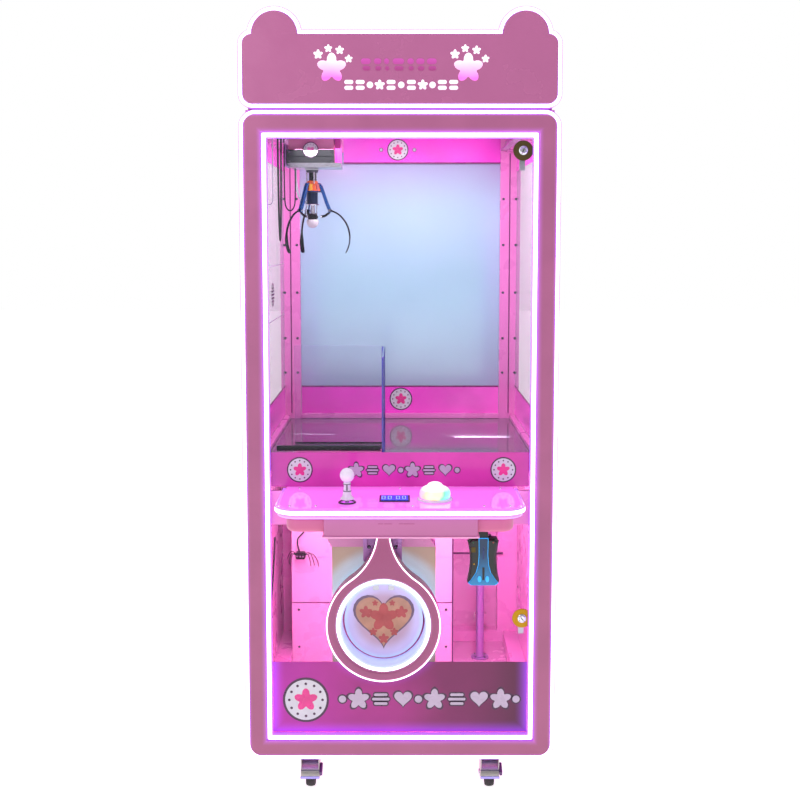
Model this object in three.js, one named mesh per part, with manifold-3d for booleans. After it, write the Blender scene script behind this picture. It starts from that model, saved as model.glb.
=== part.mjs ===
// Claw crane machine: a glazed prize cabinet on casters with a hinged front door, a control console,
// a round prize outlet, a lit header with two ears, and a gantry that carries a three-finger claw.
// Units are millimetres and +Z is up. The front faces -Y, and the origin is on the floor under the
// middle of the machine's bounding box. Inside the machine group, y is the depth behind the door face
// and z starts LIFT above the floor.
import * as THREE from 'three';
import { mergeVertices } from 'three/addons/utils/BufferGeometryUtils.js';
import Module from 'manifold-3d';

const wasm = await Module();
wasm.setup();

// Driving dimensions
const WIDTH = 800;
const BODY_DEPTH = 850;
const CONSOLE_REACH = 220;
const LIFT = 40;
const EDGE_LED = 12;
const GAP = 0.3;
const SHEET = 2;

const SIDE = WIDTH / 2 - EDGE_LED;
const FRONT_Y = (CONSOLE_REACH - BODY_DEPTH) / 2;

// Heights
const DOOR_BOTTOM = 95;
const DOOR_TOP = 1738;
const BASE_BOTTOM = 92;
const FLOOR_TOP = 101;
const PLAY_TOP = 850;
const CONSOLE_TOP = 800;
const FRAME_TOP = 1752;
const ROOF_TOP = 1755.3;
const HEADER_BOTTOM = 1765;
const HEADER_SHOULDER = 1932;
const HEADER_BACK = 110;

// Door
const DOOR_DEPTH = 30;
const DOOR_RAIL = 42;
const DOOR_SILL = 39;
const DOOR_CORNER = 30;
const INNER_LED = 16;
const GLASS_FRONT = 22;
const GLASS_BACK = 27;
const CROSS_LOW = 702;
const CROSS_HIGH = 790;
const OPENING = SIDE - DOOR_RAIL;
const OPENING_LOW = DOOR_BOTTOM + DOOR_SILL;
const OPENING_HIGH = DOOR_TOP - DOOR_RAIL;
const HINGE_X = -394;
const HINGE_Y = 32;
const CAM = { length: 48, half: 7, front: 40, back: 43 };
const LOCKS = { upper: { x: 307, z: 1651 }, lower: { x: 315, z: 455 } };

// Cabinet frame
const FRAME_FRONT = 34;
const FRAME_BACK = BODY_DEPTH - SHEET - GAP;
const FRAME_SIDE = SIDE - SHEET;
const POST = 46;
const REAR_POST = 64;
const TOP_BEAM = 44;
const FRONT_INNER = FRAME_FRONT + POST;
const REAR_INNER = FRAME_BACK - POST;

// Prize outlet
const OUTLET = { x: -42, z: 455 };
const RING_OUTER = 144;
const RING_INNER = 121;
const RING_LED_INNER = 106;
const FLAP_RADIUS = 100;
const FLAP_PIVOT = 94;
const FLAP_Y = 12;

// Chute: its hole in the play field, the bin behind the outlet, and the guard round the hole
const HOLE = { left: -300, right: -50, front: 60, back: 335 };
const BIN = { half: 135, front: 52, back: 338, frontFloor: 322, rearFloor: 392, shoulder: 634, wall: 3 };
const GUARD = { clear: 3, behind: 25, wall: 5, front: 44, height: 280 };

// Sheets, fittings and boxes inside the cabinet
const FLOOR_SHEET = 3;
const PAD = { half: 40, bottom: 88 };
const SIDE_GLASS = [374, 379];
const REAR_GLASS = [815, 820];
const BOARD_THICKNESS = 12;
const BULKHEAD = { right: 164, front: 625, back: 628 };
const CONTROL_BOX = { x: [-300, -60], y: [660, 780], top: 262 };
const INLET = { left: 250, right: 290, low: 155, high: 185, depth: 22 };
const LEG = { x: 255, y: 665, radius: 12.5, flange: 28 };
const RAIL = { front: 90, back: 795, low: 1712, high: 1740, foot: 19, wall: 4 };
const HINGE_SPAN = [112, 1728];

// Controls on the console
const STICK = { x: -127, y: -150, pivotZ: 766 };
const BUTTON = { x: 85, y: -120 };
const ACCEPTOR = { x: 213, z: 607 };

// Gantry
const CLAW = { x: -237, y: 250 };
const SPOOL_OFFSET = 19.8;
const SPOOL_Z = 1672;

// Casters
const CASTER_X = 240;
const CASTER_Y = [90, 770];
const WHEEL_RADIUS = 38;
const CASTER_TRAIL = 22;
const FORK_HALF = 25;
const FORK_TOP = PAD.bottom + LIFT;
const CHEEK_THICKNESS = 3;

const FINISH = {
  pink: [0xd685b4, 0.35, 0.25],
  light: [0xf6ecff, 0.5, 0],
  glass: [0xdfe9f5, 0.05, 0],
  mirror: [0xc3d2e6, 0.08, 0.6],
  frosted: [0xd8e4ea, 0.6, 0],
  steel: [0xb9bcc4, 0.35, 0.9],
  dark: [0x2b2c33, 0.5, 0.2],
  brass: [0xb08a2e, 0.35, 0.85],
  blue: [0x153a7a, 0.4, 0.4],
  board: [0x9a8fa6, 0.15, 0.3],
  white: [0xf1eef7, 0.3, 0],
  rubber: [0x1b1b1e, 0.8, 0],
};

const machine = new THREE.Group();
machine.position.y = FRONT_Y;
machine.position.z = LIFT;

function add(name, geometry, finish) {
  const [color, roughness, metalness] = FINISH[finish];
  const material = new THREE.MeshStandardMaterial({ color, roughness, metalness });
  const mesh = new THREE.Mesh(geometry, material);
  mesh.name = name;
  machine.add(mesh);
  return mesh;
}

// Geometry helpers

function box(x, y, z) {
  const geometry = new THREE.BoxGeometry(x[1] - x[0], y[1] - y[0], z[1] - z[0]);
  return geometry.translate((x[0] + x[1]) / 2, (y[0] + y[1]) / 2, (z[0] + z[1]) / 2);
}

function mirroredBox(half, y, z) {
  return box([-half, half], y, z);
}

function solid(geometry) {
  const bare = geometry.clone();
  bare.deleteAttribute('normal');
  bare.deleteAttribute('uv');
  const merged = mergeVertices(bare, 1e-4);
  const vertProperties = new Float32Array(merged.attributes.position.array);
  const triVerts = new Uint32Array(merged.index.array);
  return new wasm.Manifold(new wasm.Mesh({ numProp: 3, vertProperties, triVerts }));
}

function toGeometry(manifold) {
  const mesh = manifold.getMesh();
  const geometry = new THREE.BufferGeometry();
  geometry.setAttribute('position', new THREE.BufferAttribute(mesh.vertProperties, 3));
  geometry.setIndex(new THREE.BufferAttribute(mesh.triVerts, 1));
  geometry.computeVertexNormals();
  return geometry;
}

function join(...geometries) {
  return toGeometry(geometries.map(solid).reduce((whole, next) => whole.add(next)));
}

function cut(geometry, ...tools) {
  return toGeometry(tools.map(solid).reduce((whole, next) => whole.subtract(next), solid(geometry)));
}

function overlapOf(a, b) {
  return toGeometry(solid(a).intersect(solid(b)));
}

// An outline in the XZ plane, extruded from y0 back to y1
function standing(shape, y0, y1, curveSegments = 12) {
  const geometry = new THREE.ExtrudeGeometry(shape, { depth: y1 - y0, bevelEnabled: false, curveSegments });
  return geometry.rotateX(Math.PI / 2).translate(0, y1, 0);
}

// An outline in the XY plane, extruded from z0 up to z1
function lying(shape, z0, z1, curveSegments = 12) {
  const geometry = new THREE.ExtrudeGeometry(shape, { depth: z1 - z0, bevelEnabled: false, curveSegments });
  return geometry.translate(0, 0, z0);
}

// An outline in the YZ plane, extruded from x0 to x1
function sideways(shape, x0, x1, curveSegments = 12) {
  const geometry = new THREE.ExtrudeGeometry(shape, { depth: x1 - x0, bevelEnabled: false, curveSegments });
  const turn = new THREE.Matrix4().makeBasis(
    new THREE.Vector3(0, 1, 0),
    new THREE.Vector3(0, 0, 1),
    new THREE.Vector3(1, 0, 0),
  );
  return geometry.applyMatrix4(turn).translate(x0, 0, 0);
}

function polygon(points) {
  return new THREE.Shape(points.map(([a, b]) => new THREE.Vector2(a, b)));
}

function rounded(path, left, right, low, high, radius) {
  path.moveTo(left + radius, low);
  path.lineTo(right - radius, low);
  path.absarc(right - radius, low + radius, radius, -Math.PI / 2, 0, false);
  path.lineTo(right, high - radius);
  path.absarc(right - radius, high - radius, radius, 0, Math.PI / 2, false);
  path.lineTo(left + radius, high);
  path.absarc(left + radius, high - radius, radius, Math.PI / 2, Math.PI, false);
  path.lineTo(left, low + radius);
  path.absarc(left + radius, low + radius, radius, Math.PI, Math.PI * 1.5, false);
  return path;
}

function rectangle(path, left, right, low, high) {
  path.moveTo(left, low);
  path.lineTo(right, low);
  path.lineTo(right, high);
  path.lineTo(left, high);
  path.closePath();
  return path;
}

function circle(path, x, y, radius) {
  path.absarc(x, y, radius, 0, Math.PI * 2, false);
  return path;
}

function upright(x, y, z, radius, segments = 20) {
  const [low, high] = z;
  const geometry = new THREE.CylinderGeometry(radius, radius, high - low, segments);
  return geometry.rotateX(Math.PI / 2).translate(x, y, (low + high) / 2);
}

function alongY(x, y, z, radius, segments = 20) {
  const [front, back] = y;
  const geometry = new THREE.CylinderGeometry(radius, radius, back - front, segments);
  return geometry.translate(x, (front + back) / 2, z);
}

function alongX(x, y, z, radius, segments = 20) {
  const [left, right] = x;
  const geometry = new THREE.CylinderGeometry(radius, radius, right - left, segments);
  return geometry.rotateZ(Math.PI / 2).translate((left + right) / 2, y, z);
}

// A profile of [radius, height] points turned about the Z axis
function turned(points, segments = 24) {
  const outline = points.map(([radius, height]) => new THREE.Vector2(radius, height));
  return new THREE.LatheGeometry(outline, segments).rotateX(Math.PI / 2);
}

// The same, turned about the Y axis: a height in the profile is a depth
function turnedOnY(points, segments = 24) {
  return turned(points, segments).rotateX(-Math.PI / 2);
}

// Cabinet

function cabinetFrame() {
  const base = cut(
    mirroredBox(FRAME_SIDE, [FRAME_FRONT, FRAME_BACK], [BASE_BOTTOM, BASE_BOTTOM + POST]),
    mirroredBox(FRAME_SIDE - POST, [FRONT_INNER, REAR_INNER], [BASE_BOTTOM - 1, BASE_BOTTOM + POST + 1]),
  );
  const top = cut(
    mirroredBox(FRAME_SIDE, [FRAME_FRONT, FRAME_BACK], [FRAME_TOP - TOP_BEAM, FRAME_TOP]),
    mirroredBox(FRAME_SIDE - POST, [FRONT_INNER, REAR_INNER], [FRAME_TOP - TOP_BEAM - 1, FRAME_TOP + 1]),
  );
  const pieces = [base, top];
  const height = [BASE_BOTTOM + 1, FRAME_TOP - 1];
  for (const side of [-1, 1]) {
    const front = [side * FRAME_SIDE, side * (FRAME_SIDE - POST)].sort((a, b) => a - b);
    const rear = [side * FRAME_SIDE, side * (FRAME_SIDE - REAR_POST)].sort((a, b) => a - b);
    pieces.push(box(front, [FRAME_FRONT, FRONT_INNER], height));
    pieces.push(box(rear, [REAR_INNER, FRAME_BACK], height));
    for (const y of CASTER_Y) {
      const pad = [side * CASTER_X - PAD.half, side * CASTER_X + PAD.half];
      pieces.push(box(pad, [y - PAD.half, y + PAD.half], [PAD.bottom, FLOOR_TOP - FLOOR_SHEET - GAP]));
    }
  }
  return cut(join(...pieces), ...Object.values(LOCKS).map(camPocket));
}

// The slot in the right front post that a lock's cam turns into
function camPocket({ x, z }) {
  const across = [FRAME_SIDE - POST - 1, x + CAM.length + 4];
  return box(across, [CAM.front - 1.5, CAM.back + 3], [z - CAM.length - 4, z + CAM.half + 5]);
}

function lowerShell() {
  const outline = polygon([
    [-SIDE, FRAME_FRONT], [-FRAME_SIDE - GAP, FRAME_FRONT], [-FRAME_SIDE - GAP, FRAME_BACK + GAP],
    [FRAME_SIDE + GAP, FRAME_BACK + GAP], [FRAME_SIDE + GAP, FRAME_FRONT], [SIDE, FRAME_FRONT],
    [SIDE, BODY_DEPTH], [-SIDE, BODY_DEPTH],
  ]);
  const inlet = box([INLET.left, INLET.right], [FRAME_BACK - 1, BODY_DEPTH + 1], [INLET.low, INLET.high]);
  return cut(lying(outline, BASE_BOTTOM, PLAY_TOP), inlet);
}

function powerInlet() {
  const { left, right, low, high, depth } = INLET;
  const bodyY = [BODY_DEPTH - depth, BODY_DEPTH - GAP];
  const body = box([left + GAP, right - GAP], bodyY, [low + GAP, high - GAP]);
  const socket = box([left + 7, right - 7], [BODY_DEPTH - depth + 8, BODY_DEPTH + 1], [low + 6, high - 6]);
  return cut(body, socket);
}

function playBoard() {
  const wide = FRAME_SIDE - 15;
  const atFront = FRAME_SIDE - POST - GAP;
  const atRear = FRAME_SIDE - REAR_POST - GAP;
  const outline = polygon([
    [-atFront, 36], [atFront, 36], [atFront, FRONT_INNER + GAP], [wide, FRONT_INNER + GAP],
    [wide, REAR_INNER - GAP], [atRear, REAR_INNER - GAP], [atRear, FRAME_BACK - GAP],
    [-atRear, FRAME_BACK - GAP], [-atRear, REAR_INNER - GAP], [-wide, REAR_INNER - GAP],
    [-wide, FRONT_INNER + GAP], [-atFront, FRONT_INNER + GAP],
  ]);
  outline.holes.push(rectangle(new THREE.Path(), HOLE.left, HOLE.right, HOLE.front, HOLE.back));
  return lying(outline, PLAY_TOP - BOARD_THICKNESS, PLAY_TOP);
}

function chuteGuard() {
  const side = HOLE.right + GUARD.clear;
  const rear = HOLE.back + GUARD.behind;
  const outline = polygon([
    [HOLE.left, rear], [side, rear], [side, GUARD.front], [side + GUARD.wall, GUARD.front],
    [side + GUARD.wall, rear + GUARD.wall], [HOLE.left, rear + GUARD.wall],
  ]);
  return lying(outline, PLAY_TOP + GAP, PLAY_TOP + GUARD.height);
}

// A slanted duct from the play-field hole into a bin behind the outlet; the bin's floor slopes forward
function prizeChute() {
  const top = PLAY_TOP - BOARD_THICKNESS - GAP;
  const { front, back, frontFloor, rearFloor, shoulder, wall } = BIN;
  const shell = (inset, above) => {
    const left = OUTLET.x - BIN.half + inset;
    const right = OUTLET.x + BIN.half - inset;
    const across = polygon([
      [left, frontFloor - 20], [right, frontFloor - 20], [right, shoulder],
      [HOLE.right + wall - inset, top + above], [HOLE.left - wall + inset, top + above], [left, shoulder],
    ]);
    const along = polygon([
      [front + inset, frontFloor + inset], [back - inset, rearFloor + inset],
      [back - inset, PLAY_TOP], [front + inset, PLAY_TOP],
    ]);
    const width = [HOLE.left - 20, OUTLET.x + BIN.half + 20];
    return overlapOf(standing(across, front - 10, back + 10), sideways(along, ...width));
  };
  const outlet = alongY(OUTLET.x, [front - 10, front + 20], OUTLET.z, RING_INNER + 1, 28);
  return cut(shell(0, 0), shell(wall, 2 * wall), outlet);
}

function boardLeg() {
  const { x, y, radius, flange } = LEG;
  const height = PLAY_TOP - BOARD_THICKNESS - FLOOR_TOP - 2 * GAP;
  const leg = turned([[0, 0], [flange, 0], [flange, 4], [radius, 4], [radius, height], [0, height]]);
  return leg.translate(x, y, FLOOR_TOP + GAP);
}

function addCabinet() {
  add('cabinet_frame', cabinetFrame(), 'pink');
  const floorY = [FRONT_INNER + GAP, REAR_INNER - GAP];
  const floorZ = [FLOOR_TOP - FLOOR_SHEET, FLOOR_TOP];
  add('floor_panel', mirroredBox(FRAME_SIDE - POST - GAP, floorY, floorZ), 'pink');
  const roofY = [HEADER_BACK + 1, BODY_DEPTH];
  add('roof_panel', mirroredBox(SIDE, roofY, [FRAME_TOP + GAP, ROOF_TOP]), 'pink');
  const windowY = [FRONT_INNER + GAP, REAR_INNER - GAP];
  const windowZ = [PLAY_TOP + GAP, FRAME_TOP - TOP_BEAM - GAP];
  const [glassIn, glassOut] = SIDE_GLASS;
  add('side_glass_left', box([-glassOut, -glassIn], windowY, windowZ), 'glass');
  add('side_glass_right', box(SIDE_GLASS, windowY, windowZ), 'glass');
  add('rear_glass', mirroredBox(FRAME_SIDE - REAR_POST - GAP, REAR_GLASS, windowZ), 'mirror');
  add('lower_shell', lowerShell(), 'pink');
  add('power_inlet', powerInlet(), 'dark');
  add('play_board', playBoard(), 'board');
  add('chute_guard', chuteGuard(), 'glass');
  add('prize_chute', prizeChute(), 'frosted');
  add('board_leg', boardLeg(), 'steel');
  const underBoard = [FLOOR_TOP + GAP, PLAY_TOP - BOARD_THICKNESS - GAP];
  const wallX = [-FRAME_SIDE + POST + GAP, BULKHEAD.right];
  add('bulkhead', box(wallX, [BULKHEAD.front, BULKHEAD.back], underBoard), 'pink');
  add('control_box', box(CONTROL_BOX.x, CONTROL_BOX.y, [FLOOR_TOP + GAP, CONTROL_BOX.top]), 'dark');
  addRail('rail_left', -1);
  addRail('rail_right', 1);
  addHinge();
}

function addRail(name, side) {
  const { front, back, low, high, foot, wall } = RAIL;
  const inner = FRAME_SIDE - POST - GAP;
  const shelf = low + wall + 0.5;
  const section = polygon([
    [side * inner, low], [side * (inner - foot), low], [side * (inner - foot), shelf],
    [side * (inner - wall), shelf], [side * (inner - wall), high], [side * inner, high],
  ]);
  add(name, standing(section, front, back), 'steel');
}

function addHinge() {
  const pin = upright(HINGE_X, HINGE_Y, HINGE_SPAN, 3.5, 16);
  const leaf = box([HINGE_X + 2.5, -SIDE - GAP], [HINGE_Y + 1, HINGE_Y + 30], HINGE_SPAN);
  add('door_hinge', join(pin, leaf), 'steel');
}

// Header

const EAR = { x: 309, radius: 56 };

function headerOutline(grow, y0, y1) {
  const plate = rounded(new THREE.Shape(), -SIDE - grow, SIDE + grow, HEADER_BOTTOM - grow,
    HEADER_SHOULDER + grow, 23 + grow);
  const ears = [-1, 1].map((side) => alongY(side * EAR.x, [y0, y1], HEADER_SHOULDER, EAR.radius + grow, 28));
  return join(standing(plate, y0, y1, 3), ...ears);
}

function addHeader() {
  add('header_face', headerOutline(0, 0, 4), 'pink');
  const led = cut(headerOutline(EDGE_LED, 3, 22), headerOutline(GAP, 2, 23));
  add('header_led', led, 'light');
  const wall = 3;
  const shell = cut(headerOutline(0, 22 + GAP, HEADER_BACK), headerOutline(-wall, 20, HEADER_BACK - wall));
  const foot = mirroredBox(380, [40, HEADER_BACK - 4], [FRAME_TOP + GAP, HEADER_BOTTOM + 1]);
  add('header_box', join(shell, foot), 'pink');
}

// Door: everything here swings together

function ringOutline() {
  const { x, z } = OUTLET;
  const flare = 162;
  const half = 14.6;
  const rise = Math.sqrt((RING_OUTER + flare) ** 2 - (half + flare) ** 2);
  const lean = Math.atan2(rise, half + flare);
  const shape = new THREE.Shape();
  shape.moveTo(x + half, 727.7);
  shape.lineTo(x - half, 727.7);
  shape.lineTo(x - half, z + rise);
  shape.absarc(x - half - flare, z + rise, flare, 0, -lean, true);
  shape.absarc(x, z, RING_OUTER, Math.PI - lean, Math.PI * 2 + lean, false);
  shape.absarc(x + half + flare, z + rise, flare, Math.PI + lean, Math.PI, true);
  shape.closePath();
  shape.holes.push(circle(new THREE.Path(), x, z, RING_INNER));
  return shape;
}

function prizeFlap() {
  const disc = alongY(0, [FLAP_Y - 2, FLAP_Y + 2], 0, FLAP_RADIUS, 32);
  const trimmed = cut(disc, box([-60, 60], [FLAP_Y - 3, FLAP_Y + 3], [FLAP_PIVOT, FLAP_RADIUS + 1]));
  const barrel = alongX([-27, 27], FLAP_Y, FLAP_PIVOT, 3, 12);
  return join(trimmed, barrel).translate(OUTLET.x, 0, OUTLET.z);
}

function consoleOutline(grow, back) {
  const half = 290 + grow;
  const front = -210 - grow;
  const radius = 50 + grow;
  const shape = new THREE.Shape();
  shape.moveTo(half, back);
  shape.lineTo(-half, back);
  shape.lineTo(-half, front + radius);
  shape.absarc(-half + radius, front + radius, radius, Math.PI, Math.PI * 1.5, false);
  shape.lineTo(half - radius, front);
  shape.absarc(half - radius, front + radius, radius, -Math.PI / 2, 0, false);
  shape.closePath();
  return shape;
}

function consoleTray() {
  const lip = lying(consoleOutline(5, 18), 775, CONSOLE_TOP - 18 - GAP, 8);
  const tub = mirroredBox(272, [-192, 18], [738, 776]);
  const middle = box([-180, 184], [-204, -20], [728, 777]);
  const hollow = mirroredBox(269, [-189, 15], [741, 790]);
  const well = box([-177, 181], [-201, -23], [731, 790]);
  return cut(join(lip, tub, middle), hollow, well);
}

function consoleTop() {
  const outline = consoleOutline(0, 18);
  outline.holes.push(circle(new THREE.Path(), STICK.x, STICK.y, 17));
  outline.holes.push(circle(new THREE.Path(), BUTTON.x, BUTTON.y, 12.5));
  const slab = lying(outline, CONSOLE_TOP - 18, CONSOLE_TOP, 8);
  const bezel = turned([[36, -1], [41, -1], [41, 5], [39, 7], [36, 7], [36, -1]], 24);
  return join(slab, bezel.translate(BUTTON.x, BUTTON.y, CONSOLE_TOP));
}

function consoleLed() {
  const outer = lying(consoleOutline(10, 18), 783, 798, 8);
  return cut(outer, lying(consoleOutline(GAP, 19), 782, 799, 8));
}

function joystickBase() {
  const { x, y, pivotZ } = STICK;
  const flange = box([x - 34, x + 34], [y - 34, y + 34], [778, CONSOLE_TOP - 18 - GAP]);
  const body = box([x - 25, x + 25], [y - 25, y + 25], [745, 779]);
  const well = box([x - 18, x + 18], [y - 18, y + 18], [744, 790]);
  const bearing = alongX([x - 21, x + 21], y, pivotZ, 3, 12);
  return cut(join(flange, body), well, bearing);
}

function joystickGimbal() {
  const { x, y, pivotZ } = STICK;
  const ring = turned([[9.5, -4], [15, -4], [15, 4], [9.5, 4], [9.5, -4]], 20).translate(x, y, pivotZ);
  const pins = [[x - 20, x - 13], [x + 13, x + 20]].map((span) => alongX(span, y, pivotZ, 2.6, 10));
  return join(ring, ...pins);
}

function joystickStick() {
  const ball = 17.5;
  const centre = 101;
  const rise = (angle) => [ball * Math.cos(angle), centre + ball * Math.sin(angle)];
  const arc = Array.from({ length: 9 }, (_, i) => rise(-1.2 + (i * (1.2 + Math.PI / 2)) / 8));
  arc[8] = [0, centre + ball];
  const profile = [
    [0, -18], [4, -18], [4, -9], [8, -4], [8, 4], [5, 9], [5, 44], [20, 43], [20, 45], [9, 66], [6, 72],
    ...arc,
  ];
  return turned(profile, 16).translate(STICK.x, STICK.y, STICK.pivotZ);
}

function startButton() {
  const radius = 35;
  const dome = Array.from({ length: 7 }, (_, i) => {
    const angle = (i * Math.PI) / 12;
    return [radius * Math.cos(angle), 11 + 25 * Math.sin(angle)];
  });
  dome[6] = [0, 36];
  const profile = [[0, -30], [11.5, -30], [11.5, 5], [radius, 5], ...dome];
  return turned(profile, 24).translate(BUTTON.x, BUTTON.y, CONSOLE_TOP);
}

function billAcceptor() {
  const { x, z } = ACCEPTOR;
  const half = 42;
  const tall = 67;
  const bezel = new THREE.Shape();
  bezel.moveTo(x - half, z + tall - 6);
  bezel.quadraticCurveTo(x - half + 14, z, x - half, z - tall + 8);
  bezel.quadraticCurveTo(x, z - tall - 4, x + half, z - tall + 8);
  bezel.quadraticCurveTo(x + half - 14, z, x + half, z + tall - 6);
  bezel.lineTo(x + half - 6, z + tall);
  bezel.lineTo(x - half + 6, z + tall);
  bezel.closePath();
  const stub = box([x - 14, x + 6], [2, GLASS_FRONT - GAP], [z + tall - 1, z + tall + 14]);
  const body = box([x - 28, x + 28], [GLASS_FRONT - 2, 105], [z - 48, z + 48]);
  return join(standing(bezel, -4, GLASS_FRONT - GAP, 8), stub, body);
}

function upperGlass() {
  const { x, z } = LOCKS.upper;
  const half = OPENING - GAP;
  const shape = rectangle(new THREE.Shape(), -half, half, CROSS_HIGH + GAP, OPENING_HIGH - GAP);
  shape.holes.push(circle(new THREE.Path(), x, z, 10));
  return standing(shape, GLASS_FRONT, GLASS_BACK);
}

function lowerGlass() {
  const { x, z } = LOCKS.lower;
  const half = OPENING - GAP;
  const shape = rectangle(new THREE.Shape(), -half, half, OPENING_LOW + GAP, CROSS_LOW - GAP);
  shape.holes.push(circle(new THREE.Path(), x, z, 10));
  shape.holes.push(circle(new THREE.Path(), OUTLET.x, OUTLET.z, 119));
  shape.holes.push(
    rectangle(new THREE.Path(), ACCEPTOR.x - 29, ACCEPTOR.x + 29, ACCEPTOR.z - 49, ACCEPTOR.z + 49),
  );
  return standing(shape, GLASS_FRONT, GLASS_BACK);
}

function doorRings() {
  const frame = rounded(new THREE.Shape(), -SIDE, SIDE, DOOR_BOTTOM, DOOR_TOP, DOOR_CORNER);
  frame.holes.push(rectangle(new THREE.Path(), -OPENING, OPENING, OPENING_LOW, OPENING_HIGH));
  add('door_frame', standing(frame, 0, DOOR_DEPTH, 4), 'pink');
  const edge = rounded(new THREE.Shape(), -SIDE - EDGE_LED, SIDE + EDGE_LED, DOOR_BOTTOM - EDGE_LED,
    DOOR_TOP + EDGE_LED, DOOR_CORNER + EDGE_LED);
  edge.holes.push(rounded(new THREE.Path(), -SIDE - GAP, SIDE + GAP, DOOR_BOTTOM - GAP, DOOR_TOP + GAP,
    DOOR_CORNER + GAP));
  add('door_outer_led', standing(edge, 3, 22, 4), 'light');
  const half = OPENING - GAP;
  const inner = rectangle(new THREE.Shape(), -half, half, OPENING_LOW + GAP, OPENING_HIGH - GAP);
  inner.holes.push(rectangle(new THREE.Path(), -OPENING + INNER_LED, OPENING - INNER_LED,
    OPENING_LOW + INNER_LED, OPENING_HIGH - INNER_LED));
  add('door_inner_led', standing(inner, 4, 18), 'light');
}

function addLock(name, { x, z }) {
  const disc = [[6.3, 0], [25, 0], [25, 3.4], [9.5, 3.4], [9.5, 16], [6.3, 16], [6.3, 0]];
  add(`lock_${name}`, turnedOnY(disc, 20).translate(x, 18 + GAP, z), 'brass');
  const plug = alongY(x, [16.5, CAM.back], z, 6, 16);
  const arm = box([x - CAM.half, x + CAM.half], [CAM.front, CAM.back], [z - CAM.length, z + CAM.half]);
  add(`lock_cam_${name}`, join(plug, arm), 'steel');
}

function addDoor() {
  doorRings();
  add('upper_glass', upperGlass(), 'glass');
  add('lower_glass', lowerGlass(), 'glass');
  add('cross_member', mirroredBox(OPENING - GAP, [18 + GAP, 29.5], [CROSS_LOW, CROSS_HIGH]), 'pink');
  add('console_tray', consoleTray(), 'pink');
  add('console_top', consoleTop(), 'pink');
  add('console_led', consoleLed(), 'light');
  add('joystick_base', joystickBase(), 'dark');
  add('joystick_gimbal', joystickGimbal(), 'steel');
  add('joystick_stick', joystickStick(), 'white');
  add('start_button', startButton(), 'light');
  add('display', box([-50, 24], [-145, -85], [CONSOLE_TOP + GAP, CONSOLE_TOP + 4]), 'blue');
  add('prize_ring', standing(ringOutline(), -40, 18, 14), 'pink');
  const led = new THREE.Shape();
  circle(led, OUTLET.x, OUTLET.z, RING_INNER - GAP);
  led.holes.push(circle(new THREE.Path(), OUTLET.x, OUTLET.z, RING_LED_INNER));
  add('prize_ring_led', standing(led, -37, 18, 14), 'light');
  add('prize_flap', prizeFlap(), 'frosted');
  add('bill_acceptor', billAcceptor(), 'dark');
  addLock('upper', LOCKS.upper);
  addLock('lower', LOCKS.lower);
}

// Gantry

function bridge() {
  const z = [1717, 1741];
  const y = CLAW.y;
  return join(
    mirroredBox(318, [y - 52, y - 40], z),
    mirroredBox(318, [y + 40, y + 52], z),
    box([-334, -304], [y - 60, y + 60], z),
    box([304, 334], [y - 60, y + 60], z),
  );
}

function trolley() {
  const motorBox = box([-64, 64], [-50, 50], [1632, 1668]);
  const basePlate = box([-56, 80], [-54, 54], [1621, 1633]);
  const cover = box([-60, 60], [-38, 38], [1667, 1743]);
  const flange = box([-60, 60], [-51, 51], [1741.7, 1747]);
  const bracket = box([63, 78], [-30, 30], [1632, 1700]);
  const body = join(motorBox, basePlate, cover, flange, bracket);
  const winchRoom = box([-50, 25], [-25, 25], [1640, 1705]);
  const cordHole = upright(0, 0, [1620, 1641], 6, 12);
  return cut(body, winchRoom, cordHole).translate(CLAW.x, CLAW.y, 0);
}

function winchSpool() {
  const profile = [
    [0, -24.6], [4, -24.6], [4, -21], [26, -21], [26, -18], [18, -18], [18, 18], [26, 18], [26, 21], [4, 21],
    [4, 24.6], [0, 24.6],
  ];
  return turnedOnY(profile, 18).translate(CLAW.x - SPOOL_OFFSET, CLAW.y, SPOOL_Z);
}

// Claw: radius and height of each finger's pivot, and the three directions it spreads in
const PIVOT = { radius: 48, z: 1508 };
const FINGER_TURNS = [-8, 112, 232].map((degrees) => (degrees * Math.PI) / 180);

function atClaw(geometry, turn) {
  return geometry.rotateZ(turn).translate(CLAW.x, CLAW.y, 0);
}

function clawHead() {
  const core = turned([
    [0, 1550], [5.8, 1550], [5.8, 1525], [15, 1525], [15, 1559], [23, 1559], [23, 1587], [16.5, 1587],
    [16.5, 1618], [0, 1618],
  ]).translate(CLAW.x, CLAW.y, 0);
  const arm = polygon([
    [18, 1572], [28, 1572], [PIVOT.radius + 5, PIVOT.z], [PIVOT.radius - 1, PIVOT.z - 6],
    [PIVOT.radius - 6, PIVOT.z], [18, 1561],
  ]);
  const slot = alongY(PIVOT.radius, [-3, 3], PIVOT.z, 12, 16);
  const arms = FINGER_TURNS.map((turn) => atClaw(cut(standing(arm, -6, 6), slot), turn));
  return join(core, ...arms);
}

function clawPlunger() {
  const profile = [
    [0, 1461], [9, 1463], [15, 1470], [16.5, 1483], [15, 1484], [15, 1499], [5, 1499], [5, 1530], [0, 1530],
  ];
  return turned(profile).translate(CLAW.x, CLAW.y, 0);
}

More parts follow.
